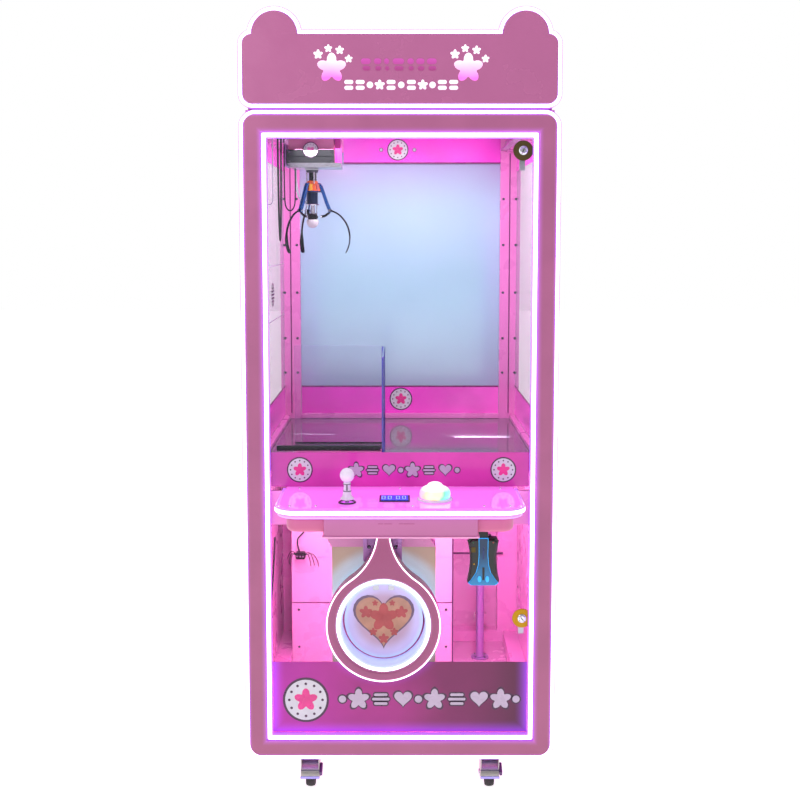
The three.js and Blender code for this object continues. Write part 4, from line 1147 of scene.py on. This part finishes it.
def make_cabinet():
    for node, material, bevel in (
            ("cabinet_frame", PINK_INNER, 2.0), ("floor_panel", PINK_FLOOR, 0.8), ("roof_panel", PINK, 0.8),
            ("lower_shell", PINK_SHELL, 0.9), ("bulkhead", PINK_BULKHEAD, 0.8),
            ("side_glass_left", SIDE_GLASS, 0.6),
            ("side_glass_right", SIDE_GLASS, 0.6), ("rear_glass", MIRROR, 0.6), ("play_board", PLAY, 1.0),
            ("control_box", DARK_GREY, 1.5), ("rail_left", ZINC, 1.0), ("rail_right", ZINC, 1.0)):
        finish_node(node, material, bevel)
    paint_node("power_inlet", lambda x, depth, z: 0 if depth > 850 else 1, (BLACK_PLASTIC, PINK_SHELL), 0.8)
    paint_node("prize_chute", lambda x, depth, z: 0 if z < 634 and depth < 60 else 1,
               (BIN_FROST, PINK_BULKHEAD), 0.6)

    foot, top = ON_PLAY_FIELD + 0.2, 1130
    front, back = span("chute_guard")[1]
    tight, wide = (rounded(front, back, foot, top, radius) for radius in (3, 26))
    side_sheet = slab([tight[:9] + wide[9:27] + tight[27:]], -47, -42.2, "side", 0.7)
    rear_sheet = slab([rounded(-300, -47.2, foot, top, 3)], back - 5, back, "front", 0.7)
    parts = [(facing(side_sheet, lambda n: abs(n.x)), (ACRYLIC, ACRYLIC_EDGE)),
             (facing(rear_sheet, lambda n: abs(n.y)), (ACRYLIC, ACRYLIC_PALE))]
    piece("chute_screen", parts, "cabinet", ["chute_guard"])
    bar = block((-318, -50), (46, 56), (888, 901), 1.2)
    bead = block((-300, -47), (back - 8.5, back - 5.2), (ON_PLAY_FIELD, 853.5), 0.6, 1)
    corner = block((-52, -47.2), (back - 10, back - 5), (850.3, 1128), 0.6, 1)
    piece("chute_sensor", [(bar, BLACK_PAINT), (bead, BLACK_PLASTIC), (corner, ACRYLIC_EDGE)], "cabinet")

    centre = (255, 665, 0)
    post = [(0, 104), (12.5, 104), (12.5, 832), (0, 832)]
    flange = [(0, 101.3), (27, 101.3), (28, 102), (28, 105), (26.5, 106), (14.5, 106.6),
              (14, 112), (12.6, 114),
              (0, 114)]
    head = [(0, 837.7), (28, 837.7), (28, 834), (14, 833), (12.6, 826), (0, 826)]
    clamp = [(12, 517), (15, 517), (15, 525), (12, 525), (12, 517)]
    parts = [(lathe(profile, centre, "z", segments), finish) for profile, segments, finish in (
        (post, 32, LEG_LILAC), (flange, 40, LEG_LILAC), (head, 40, LEG_LILAC), (clamp, 32, STEEL_DARK))]
    parts += [(screw((centre[0] + u, centre[1] + v, 106), "z", 3.6, 1), STEEL_DARK)
              for u, v in ((14.7, 14.7), (-14.7, 14.7), (-14.7, -14.7), (14.7, -14.7))]
    piece("board_post", parts, "cabinet", ["board_leg"])


# ------------------------------------------------------------------------------ printed bands and trim

def make_bands():
    """Printed film on the door's glasses, on the back sheet and round the play field."""
    on_glass = span("upper_glass")[1][0] - 0.25

    def door_band(name, low, high, material, marks, row_z, row_size, badges):
        parts = [(slab([square(-329.6, 329.6, low, high)], on_glass - 0.5, on_glass), material)]
        for x, z, radius in badges:
            parts += badge(x, z, radius, on_glass - 0.5)
        parts += mark_row(marks, row_z, row_size, on_glass - 0.5)
        piece(name, parts, "front_door")

    door_band("sign_band_upper", 800.5, 889, BAND_MAGENTA,
              [("star", -112), ("bar", -70), ("heart", -28), ("dot", 2), ("star", 32),
               ("bar", 74), ("heart", 116),
               ("dot", 146)], 843, 19, [(-256, 844, 33), (264, 844, 33)])
    door_band("sign_band_lower", 150.5, 338, BAND_LOWER,
              [("dot", -150), ("star", -108), ("bar", -50), ("heart", 8), ("dot", 48),
               ("star", 90), ("bar", 148),
               ("heart", 206), ("star", 262), ("dot", 302)], 238, 28, [(-245, 236, 60)])

    front = 801
    top = [(slab([square(-180, 321, 1676, 1751)], front - 0.3, front + 0.2), BAND_REAR),
           (slab([square(-180, 321, 1672, 1676.5)], front - 0.5, front + 0.2), BAND_EDGE)]
    top += badge(-7, 1716, 34, front - 0.4)
    top += mark_row([("dot", -60), ("dot", 46)], 1716, 14, front - 0.4)
    piece("rear_band_top", top, "cabinet")

    front = span("rear_glass")[1][0] - 0.3
    low = [(slab([square(-321, 321, 851, 956)], front - 0.4, front), BAND_REAR_LOW),
           (slab([square(-321, 321, 951, 956)], front - 0.6, front), BAND_EDGE)]
    low += badge(3, 912, 37, front - 0.5)
    piece("rear_band_low", low, "cabinet")

    parts = [(block((-322, 322), (796, 814), (ON_PLAY_FIELD, 866), 2.0), PINK_INNER)]
    parts += [(block(wide, (47, 800), (ON_PLAY_FIELD, 862), 2.0), PINK_INNER)
              for wide in ((-373.5, -356), (356, 373.5))]
    for side in (-1, 1):
        for low, high, inner, outer, finish in ((864, 958, 372.6, 373.4, BAND_SIDE),
                                                (1648, 1707, 372.6, 373.4, BAND_SIDE),
                                                (953, 958, 372.2, 373.5, BAND_EDGE)):
            strip = slab([square(84, 798, low, high)], *sorted((side * inner, side * outer)), "side")
            parts.append((strip, finish))
    piece("side_bands", parts, "cabinet")


def fine_screws(places, axis="y", radius=4.5, out=1, material=None):
    """Screws as parts of a larger piece."""
    return [(screw(place, axis, radius, out), material or ZINC) for place in places]


def make_trim():
    """Screws, seams and small panels inside the cabinet."""
    sides = (-1, 1)
    posts = [(side * x, 801.7, z) for side in sides for x in (332, 372)
             for z in (1000, 1112, 1260, 1413, 1560)]
    screws("rear_post_screws", posts, "cabinet", STEEL_DARK, "y", 4.2, -1)
    grooves = [(block((side * 352 - 1.4, side * 352 + 1.4), (799.8, 801.9), (868, 1705), 0.4, 1), DARK_LINE)
               for side in sides]
    piece("rear_post_grooves", grooves, "cabinet")

    face = BULKHEAD_FACE
    trim = [(block((163.4, 167.2), (620, 634), (101.5, 837.5), 1.2), EDGE_TRIM),
            (block((-339, 163), (face - 1.2, face), (292, 294.5), 0.3, 1), DARK_LINE),
            (block((-339, 163), (face - 2.5, face), (440, 520), 0.8), PINK_BULKHEAD),
            (block((-338, 163), (face - 4.5, face - 1), (690, 716), 1.0), PANEL_MAGENTA),
            (block((168, 339), (790, 806), (690, 720), 1.0), PANEL_MAGENTA),
            (block((168, 339), (790, 800), (400, 404), 0.5, 1), DARK_LINE)]
    places = [(x, face - 1.2, z) for x in (-318, -200, -80, 40, 145) for z in (150, 270, 560, 660)]
    piece("bulkhead_trim", trim + fine_screws(places, "y", 4, -1, STEEL_DARK), "cabinet")

    floor = [(x, depth, 101) for x in (-300, -100, 100, 300) for depth in (120, 420, 580)]
    parts = fine_screws(floor, "z", 3.6, 1, STEEL_DARK)
    for side in sides:
        wall = [(side * 385, depth, z) for depth in (160, 470, 760) for z in (300, 560)]
        parts += fine_screws(wall, "x", 3.6, -side, STEEL_DARK)
    piece("lower_screws", parts, "cabinet")


def make_outer_details():
    """Louvres, panels and screws on the back, the roof and the sides."""
    back = REAR_FACE
    parts = [(block((x - 60, x + 60), (back - 0.2, back + 4), (560 + row * 16, 566 + row * 16), 1.6), PINK)
             for row in range(9) for x in (-240, 0, 240)]
    parts.append((slab([rounded(-150, 150, 180, 480, 12)], back + 0.1, back + 2.2, "front", 0.8), PINK))
    latch = [(0, back), (11, back), (11, back + 3.4), (9, back + 4.2), (0, back + 4.2)]
    parts.append((lathe(latch, (120, 0, 330), "y", 24), CHROME))
    parts += fine_screws([(x, back, z) for x in (-365, -180, 180, 365) for z in (120, 330, 540, 760, 830)])
    parts += fine_screws([(x, 847.7, z) for x in (-354, 354) for z in (900, 1150, 1400, 1650)])
    parts += fine_screws([(x, depth, 1755.3) for x in (-370, 0, 370) for depth in (130, 480, 830)], "z")
    piece("rear_details", parts, "cabinet")

    parts = []
    for side in (-1, 1):
        parts += fine_screws([(side * 388, depth, z) for depth in (120, 470, 820) for z in (120, 480, 830)],
                             "x", 4.5, side)
    parts += [(block(sorted((side * 387.6, side * 390.5)), (560, 760),
                     (600 + row * 18, 606 + row * 18), 1.2), PINK)
              for side in (-1, 1) for row in range(7)]
    piece("side_details", parts, "cabinet")


def make_speaker_grille():
    """Round holes in rings, between two silver lines on the left glass."""
    grille = []
    for ring, count in enumerate((1, 6, 12, 18)):
        grille += [slab([disc(depth, z, 3.0, 12)], -373.8, -372.8, "side")
                   for depth, z in disc(478, 1269, 10.5 * ring, count)]
    parts = [(hole, DARK_LINE) for hole in grille]
    parts += [(block((-373.8, -372.9), (90, 795), (z, z + 3), 0.2, 1), MARK_SILVER) for z in (1191, 1352)]
    piece("speaker_grille", parts, "cabinet")


# ------------------------------------------------------------------------------------- gantry and claw

def make_gantry():
    def trolley_region(x, depth, z):
        if x > -174:
            return 2 if z > 1634 else 3
        if z < 1633.5:
            return 3
        return 1 if z > 1668.5 else 0
    paint_node("trolley", trolley_region, (DARK_GREY, TROLLEY_COVER, MAGENTA_PAINT, ZINC), 0.9)
    finish_node("winch_spool", ZINC, 0.5)
    finish_node("bridge", ZINC, 1.0)
    parts = badge(CLAW_X, 1667, 21, 199.8, mark="heart")
    parts += [(screw((x, 199.6, z), "y", 3.2), STEEL_DARK) for x in (-294, -181) for z in (1638, 1662)]
    parts += [(block((-300, -176), (198.6, 200), (1650, 1651.2), 0.2, 1), BLACK_PAINT),
              (block((-308, -302.5), (206, 292), (1624, 1684), 1.0), LAVENDER_METAL),
              (block((CLAW_X - 18, CLAW_X + 18), (CLAW_DEPTH - 20, CLAW_DEPTH + 20),
                     (1616.5, 1621), 1.0), ZINC)]
    piece("trolley_details", parts, "trolley")
    clamps = [(block((-322, -306), (100, 116), (1696, 1711), 2.0), BLACK_PLASTIC)]
    piece("cable_clamp_rail", clamps, "cabinet")
    clamps = [(block((-322, -305), (176, 189), (1698, 1722), 2.0), BLACK_PLASTIC),
              (block((-300, -283), (190.5, 197.5), (1700, 1736), 1.5), BLACK_PLASTIC),
              (block((-330, -312), (189, 191.5), (1716, 1738), 0.6, 1), ZINC)]
    piece("cable_clamp_bridge", clamps, "bridge")


def around_claw(reach, z, turn):
    a = math.radians(turn)
    return (CLAW_X + reach * math.cos(a), CLAW_DEPTH + reach * math.sin(a), z)


def make_claw():
    centre = (CLAW_X, CLAW_DEPTH, 0)
    tube_shape = lathe([(0, 1618), (8.5, 1618), (9.5, 1617), (9.5, 1587), (0, 1587)], centre, "z", 32)
    cap = lathe([(2.2, 1618.2), (15.5, 1618.2), (16.5, 1617), (16.5, 1611), (15.5, 1610), (2.2, 1610),
                 (2.2, 1618.2)], centre)
    collar = lathe([(0, 1588), (13, 1588), (15, 1586), (21.5, 1566), (22.5, 1560), (21.5, 1558),
                    (0, 1558)], centre, "z", 48)
    ring = lathe([(20, 1557.5), (23.4, 1557.5), (23.8, 1559), (23.4, 1561), (20, 1561),
                  (20, 1557.5)], centre, "z", 48)
    wound = [(0, 1558)]
    for i in range(11):
        z = 1557 - i * 3
        wound += [(13.4, z), (14.8, z - 0.7), (14.8, z - 2.0), (13.4, z - 2.8)]
    wound += [(0, 1524.5)]
    washer = lathe([(5.3, 1525.5), (18.6, 1525.5), (19.2, 1524.5), (18.6, 1522.5), (5.3, 1522.5),
                    (5.3, 1525.5)], centre)
    parts = [(tube_shape, BLACK_PAINT), (cap, STEEL_DARK), (collar, ORANGE), (ring, NAVY),
             (lathe(wound, centre, "z", 48), NAVY_COIL), (washer, CHROME)]
    for turn in (arm + 60 for arm in ARM_TURNS):
        parts.append((rod(around_claw(15.5, 1611, turn), around_claw(15.5, 1580, turn), 2.0, 12), CHROME))
        parts.append((rod(around_claw(17.3, 1524, turn), around_claw(17.3, 1500, turn), 1.6, 12), CHROME))
    for turn, finish in ((195, YELLOW), (262, YELLOW), (318, BADGE_RED)):
        tape = spun(block((CLAW_X + 15.5, CLAW_X + 22.4), (CLAW_DEPTH - 5, CLAW_DEPTH + 5), (1561, 1579),
                          1.5), centre, turn)
        parts.append((tape, finish))
    for turn in ARM_TURNS:
        a = math.radians(turn)
        side = Vector((-math.sin(a), math.cos(a), 0))
        for hand in (-1, 1):
            offset = side * hand * 4.0
            line = [Vector(around_claw(reach, z, turn)) + offset
                    for reach, z in ((16, 1580), (24, 1573), (30, 1556), (39, 1530), (47, 1510), (48, 1503))]
            outline = [(u * 1.9, v * 4.2) for u, v in disc(0, 0, 1, 10)]
            parts.append((sweep(line, lambda share, outline=outline: outline), ARM_BLUE))
        root = Vector(around_claw(20, 1578, turn))
        parts.append((rod(root - side * 7, root + side * 7, 4.2, 16), ARM_BLUE))
        bolt = Vector(around_claw(PIVOT_REACH, PIVOT_Z, turn))
        parts.append((rod(bolt - side * 7.6, bolt + side * 7.6, 2.6, 14), CHROME))
        parts.append((rod(bolt - side * 8.6, bolt - side * 6.2, 4.2, 6), STEEL_DARK))
    piece("claw_head_assembly", parts, "claw", ["claw_head"])

    plunger = lathe([(0, 1538), (4.6, 1538), (5, 1537), (5, 1498), (0, 1498)], centre, "z", 24)
    hub = lathe([(0, 1499.5), (11, 1499.5), (13, 1498), (13, 1494.5), (15, 1493.5), (15, 1489), (13, 1488),
                 (13, 1485), (11, 1484),
                 (0, 1484)], centre, "z", 40)
    dome = [(0, 1484), (14.5, 1484), (16.4, 1481), (16.6, 1477.5)]
    dome += [(16.6 * math.cos(math.radians(a)), 1477 - 15.5 * math.sin(math.radians(a)))
             for a in range(10, 90, 10)]
    parts = [(plunger, CHROME), (hub, BLACK_PAINT),
             (lathe(dome + [(0, 1461.5)], centre, "z", 40), DOME_WHITE)]
    for i in range(6):
        parts.append((rod(around_claw(9, 1502, 60 * i + 30), around_claw(9, 1499, 60 * i + 30),
                          2.2, 6), STEEL_DARK))
    piece("claw_plunger_assembly", parts, "claw_plunger", ["claw_plunger"])

    for i, turn in enumerate(ARM_TURNS, 1):
        corners = [Vector(around_claw(reach, z, turn)) for reach,
                   z in ((48, 1508), (90, 1502), (120, 1440), (91, 1394))]
        line = []
        for k in range(33):
            t = k / 32
            a, b, c, d = corners
            line.append(a * (1 - t) ** 3 + b * 3 * t * (1 - t) ** 2 + c * 3 * t * t * (1 - t) + d * t ** 3)

        def finger_section(share):
            wide = 2.6 + 3.4 * min(max((share - 0.62) / 0.16, 0), 1)
            thin = 2.3 - 0.9 * min(max((share - 0.6) / 0.2, 0), 1)
            if share > 0.985:
                wide, thin = wide * 0.7, thin * 0.7
            return [(wide * math.copysign(abs(u) ** 0.6, u), thin * math.copysign(abs(v) ** 0.6, v))
                    for u, v in disc(0, 0, 1, 12)]
        inner = [Vector(around_claw(reach, z, turn)) for reach,
                 z in ((50, 1509), (44, 1501), (34, 1494), (23.5, 1492))]
        lever = sweep(inner, lambda share: [(3.0 * u, 3.4 * v) for u, v in disc(0, 0, 1, 12)])
        a = math.radians(turn)
        side = Vector((-math.sin(a), math.cos(a), 0))
        pivot = Vector(around_claw(PIVOT_REACH, PIVOT_Z, turn))
        pin = Vector(around_claw(24.5, 1492, turn))
        parts = [(sweep(line, finger_section), FINGER_BLACK), (lever, FINGER_BLACK),
                 (rod(pivot - side * 3.2, pivot + side * 3.2, 5.2, 20), FINGER_BLACK),
                 (rod(pin - side * 4.4, pin + side * 4.4, 2.4, 12), CHROME)]
        piece(f"claw_finger_{i}_bent", parts, f"claw_finger_{i}", [f"claw_finger_{i}"])


# ------------------------------------------------------------------------------------ cords and wiring

def cord(name, points, radius, material, body=None, between=None,
         replaces=(), steps=8):
    """A cable swept through the points, riding on body; with between set it rides on no body and its place is
    baked into its mesh.
    """
    line = smooth_path(points, steps)
    outline = disc(0, 0, radius, 12)
    obj = piece(name, [(sweep(line, lambda share: outline), material)], body, replaces)
    if between:
        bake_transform(obj)


def make_cords():
    x = -314
    loop = [(108, 1704), (108, 1674), (111, 1600), (124, 1480), (146, 1428), (168, 1480), (181, 1600),
            (184, 1674), (184, 1704)]
    cord("festoon", [(x, depth, z) for depth, z in loop], 2.4, CABLE_GREEN,
         replaces=["festoon_cable"],
         between=("cabinet", "bridge", (x, 110, 1500), (x, 182, 1500)))
    loop = [(-308, 1712), (-308.5, 1670), (-308.5, 1625), (-308, 1580), (-307.5, 1545),
            (-306, 1524), (-301, 1511.5),
            (-293.5, 1507), (-286, 1511.5), (-281, 1524), (-279.5, 1545), (-279, 1580), (-279, 1619)]
    cord("trolley_lead", [(u, 206, z) for u, z in loop], 1.7, CABLE_BLACK,
         between=("bridge", "trolley", (-306, 206, 1560), (-281, 206, 1560)))
    drop = [(-281, 236, 1619), (-280, 236, 1590), (-276, 238, 1558), (-268, 242, 1538), (-257, 246, 1531),
            (-250, 248, 1531)]
    cord("claw_lead", drop, 3.2, CABLE_MILKY, steps=14,
         between=("trolley", "claw", (-280, 238, 1612), (-268, 242, 1538)))
    line = [(CLAW_X, CLAW_DEPTH, z) for z in (1671, 1650, 1630, 1612)]
    cord("hoist_line", line, 1.5, CABLE_BLACK, replaces=["hoist_cord"],
         between=("trolley", "claw", (CLAW_X, CLAW_DEPTH, 1634), (CLAW_X, CLAW_DEPTH, 1619)), steps=12)
    loop = [(-350, 1707), (-351, 1668), (-351, 1630), (-351, 1590), (-351, 1560),
            (-350.5, 1542), (-350, 1531),
            (-347, 1524.5), (-341.5, 1521.5), (-336, 1524.5), (-333, 1531), (-332.5, 1542),
            (-332.5, 1560), (-332.5, 1590),
            (-332.5, 1630), (-333, 1668), (-333, 1707)]
    cord("rail_lead", [(u, 150, z) for u, z in loop], 1.6, CABLE_WHITE, "cabinet")

    x, depth, z = -310, 606, 450
    case = block((x - 15, x + 15), (depth - 12, depth + 14), (z - 11, z + 11), 5, 3)
    nuts = [(rod((x + u, depth - 14, z), (x + u, depth - 10, z), 2.6, 12), ZINC) for u in (-9, 0, 9)]
    piece("loom_hub", [(case, BLACK_PLASTIC), *nuts], "cabinet")
    spread = ((-1, 36, 10, -30), (-1, 42, 16, -14), (-1, 31, 6, -38), (1, 42, 12, -34),
              (1, 56, 8, -38), (1, 31, 7, -36))
    for number, (side, reach, rise, drop) in enumerate(spread, 1):
        shape = ((13, -6, 2), (13 + (reach - 13) * 0.3, -12, rise),
                 (13 + (reach - 13) * 0.65, -11, rise * 0.7),
                 (13 + (reach - 13) * 0.92, -4, drop * 0.42), (reach, 8, drop))
        cord(f"loom_leg_{number}", [(x + side * u, depth + v, z + w) for u, v, w in shape], 1.15, CABLE_BLACK,
             "cabinet")
    cord("loom_feed", [(x - 4, depth + 4, z + 10), (x - 9, depth, z + 34), (x - 8, depth, z + 52),
                       (x, depth, z + 63),
                       (x + 9, depth + 3, z + 73), (x + 14, depth + 8, z + 90),
                       (x + 14, depth + 14, z + 108)], 2.3,
         CABLE_BLACK, "cabinet")
    cord("wall_lead", [(-384, 560, 520), (-383, 520, 460), (-382, 440, 360), (-382, 330, 270),
                       (-383, 240, 190), (-384, 200, 120)],
         2.4, CABLE_BLACK, "cabinet")


# --------------------------------------------------------------------------------------------- casters

def ring_part(depth, z, inner, outer, start, end, low, high, bevel=0.5):
    """A bent strip round an axle that lies along x, from one angle to another."""
    outline = arc(depth, z, outer, start, end, 40) + list(reversed(arc(depth, z, inner, start, end, 40)))
    return slab([outline], low, high, "side", bevel)


def make_caster(place):
    fork, wheel = f"caster_fork_{place}", f"caster_wheel_{place}"
    fork_x, _, fork_z = span(fork)
    _, wheel_depth, wheel_z = span(wheel)
    x, top = middle(fork_x), fork_z[1]
    axle_depth, axle_z = middle(wheel_depth), middle(wheel_z)
    depth, radius = axle_depth - 22, (wheel_z[1] - wheel_z[0]) / 2
    centre = (x, depth, 0)
    head = lathe([(0, top), (21, top), (22, top - 2), (27, top - 3.5), (27.5, top - 5), (26.5, top - 7),
                  (27.5, top - 9), (27, top - 11),
                  (0, top - 11)], centre, "z", 40)
    crown = block((x - 25, x + 25), (depth - 17, depth + 24), (top - 15, top - 9), 2.0, 3)
    cheek = [(depth - 17, top - 11), (depth + 24, top - 11), (axle_depth + 17, axle_z + 26),
             (axle_depth + 13, axle_z - 7),
             (axle_depth + 6, axle_z - 12), (axle_depth - 6, axle_z - 12), (depth - 15, axle_z + 16)]
    cheeks = [slab([cheek], x + a, x + b, "side", 0.8) for a, b in ((-25, -22), (22, 25))]
    cover = ring_part(axle_depth, axle_z, radius + 2.2, radius + 4.6, 62, 180, x - 24.6, x + 24.6, 0.8)
    band = ring_part(axle_depth, axle_z, radius + 4.2, radius + 6.4, 172, 180, x - 26, x + 26, 0.9)
    seam = ring_part(axle_depth, axle_z, radius + 4.4, radius + 5.4, 150, 153, x - 25.4, x + 25.4, 0.3)
    bolts = [lathe([(0, -3), (6, -3), (7, -1.5), (7, 0), (0, 0)], (x - 25, axle_depth, axle_z), "x", 6),
             lathe([(0, 0), (7, 0), (7, 1.5), (6, 3), (0, 3)], (x + 25, axle_depth, axle_z), "x", 6)]
    pedal = [(axle_depth - 46, axle_z + 20), (axle_depth - 20, axle_z + 34), (axle_depth - 6, axle_z + 26),
             (axle_depth - 8, axle_z + 14), (axle_depth - 42, axle_z + 8)]
    brake = slab([pedal], x + 25.2, x + 33, "side", 2.2, 3)
    axle = rod((x - 24, axle_depth, axle_z), (x + 24, axle_depth, axle_z), 4, 16)
    parts = [(head, ZINC), (crown, CASTER_VIOLET), *[(shape, CASTER_GREY) for shape in cheeks],
             (cover, CASTER_GREY), (band, CASTER_VIOLET),
             (seam, STEEL_DARK), *[(bolt, ZINC) for bolt in bolts], (brake, BRAKE_PURPLE), (axle, STEEL_DARK)]
    piece(fork + "_made", parts, fork, [fork])

    tyre = [(radius - 9, -12)]
    tyre += [(radius - 5 + 5 * math.cos(math.radians(a)), 12.5 * math.sin(math.radians(a)))
             for a in range(-75, 76, 15)]
    tyre += [(radius - 9, 12), (radius - 9, -12)]
    hub = [(5, -12.6), (11, -12.6), (11.5, -10), (radius - 12, -8), (radius - 9.2, -11.4), (radius - 8.6, 0),
           (radius - 9.2, 11.4),
           (radius - 12, 8), (11.5, 10), (11, 12.6), (5, 12.6), (5, -12.6)]
    at_axle = (x, axle_depth, axle_z)
    parts = [(lathe(tyre, at_axle, "x", 56), RUBBER), (lathe(hub, at_axle, "x", 40), DARK_GREY)]
    piece(wheel + "_made", parts, wheel, [wheel])


# ------------------------------------------------------------------------------------ light and floor

def area_light(name, place, aim, size, power, colour=(1, 1, 1), shown=True):
    data = bpy.data.lights.new(name, "AREA")
    data.shape = "RECTANGLE"
    data.size, data.size_y = size
    data.energy = power
    data.color = colour
    light = bpy.data.objects.new(name, data)
    bpy.context.scene.collection.objects.link(light)
    light.location = at(*place)
    direction = at(*aim) - light.location
    light.rotation_euler = direction.to_track_quat("-Z", "Y").to_euler()
    light.visible_camera = False
    light.visible_glossy = shown
    return light


def make_world():
    """Soft even light; the camera sees plain white behind the machine."""
    world = bpy.data.worlds.new("studio")
    bpy.context.scene.world = world
    world.use_nodes = True
    nodes, links = world.node_tree.nodes, world.node_tree.links
    soft = nodes["Background"]
    soft.inputs["Color"].default_value = (1.0, 0.985, 1.0, 1.0)
    soft.inputs["Strength"].default_value = 0.42
    plain = nodes.new("ShaderNodeBackground")
    plain.inputs["Color"].default_value = (1, 1, 1, 1)
    plain.inputs["Strength"].default_value = 1.0
    mix = nodes.new("ShaderNodeMixShader")
    seen = nodes.new("ShaderNodeLightPath")
    links.new(seen.outputs["Is Camera Ray"], mix.inputs["Fac"])
    links.new(soft.outputs[0], mix.inputs[1])
    links.new(plain.outputs[0], mix.inputs[2])
    links.new(mix.outputs[0], nodes["World Output"].inputs["Surface"])


def make_floor():
    bpy.ops.mesh.primitive_plane_add(size=40, location=(0, 0, 0))
    floor = bpy.context.object
    floor.name = "studio_floor"
    paper = Shader("studio_paper", (0.93, 0.93, 0.935, 1.0), 0.6, Emission_Strength=0.8)
    paper.set("Emission Color", (1.0, 1.0, 1.0, 1.0))
    floor.data.materials.append(paper.material)


def make_lights():
    area_light("key", (-1500, -2300, 2300), (0, 200, 1100), (1.4, 2.2), 20)
    area_light("fill", (2100, -1700, 1500), (0, 200, 1000), (1.2, 2.0), 5)
    area_light("top", (0, -200, 3300), (0, 200, 1000), (2.4, 1.6), 15)
    area_light("back", (300, 3000, 2100), (0, 400, 1000), (2.4, 2.0), 14)
    area_light("play_space", (0, 330, 1704), (0, 560, 900), (0.56, 0.4), 7.2, (1.0, 0.95, 1.0), False)
    area_light("lower_left", (-270, 330, 760), (-250, 620, 200), (0.12, 0.4), 2.9,
                   (1.0, 0.9, 1.0), False)
    area_light("lower_right", (240, 300, 760), (240, 640, 200), (0.16, 0.4), 4.6, (1.0, 0.9, 1.0), False)
    area_light("lower_front", (0, 60, 190), (0, 600, 420), (0.6, 0.06), 2.0, (1.0, 0.9, 1.0), False)


# ------------------------------------------------------------------------------------------- the scene

make_camera()
make_door()
make_console()
make_controls()
make_outlet()
make_acceptor()
make_lock("lock_upper", "lock_cam_upper", OLIVE_METAL, 25)
make_lock("lock_lower", "lock_cam_lower", BRASS, -40)
make_header()
make_cabinet()
make_bands()
make_trim()
make_outer_details()
make_speaker_grille()
make_gantry()
make_claw()
make_cords()
for corner in ("front_left", "front_right", "rear_left", "rear_right"):
    make_caster(corner)
make_world()
make_floor()
make_lights()
bpy.context.scene.view_settings.view_transform = "Standard"
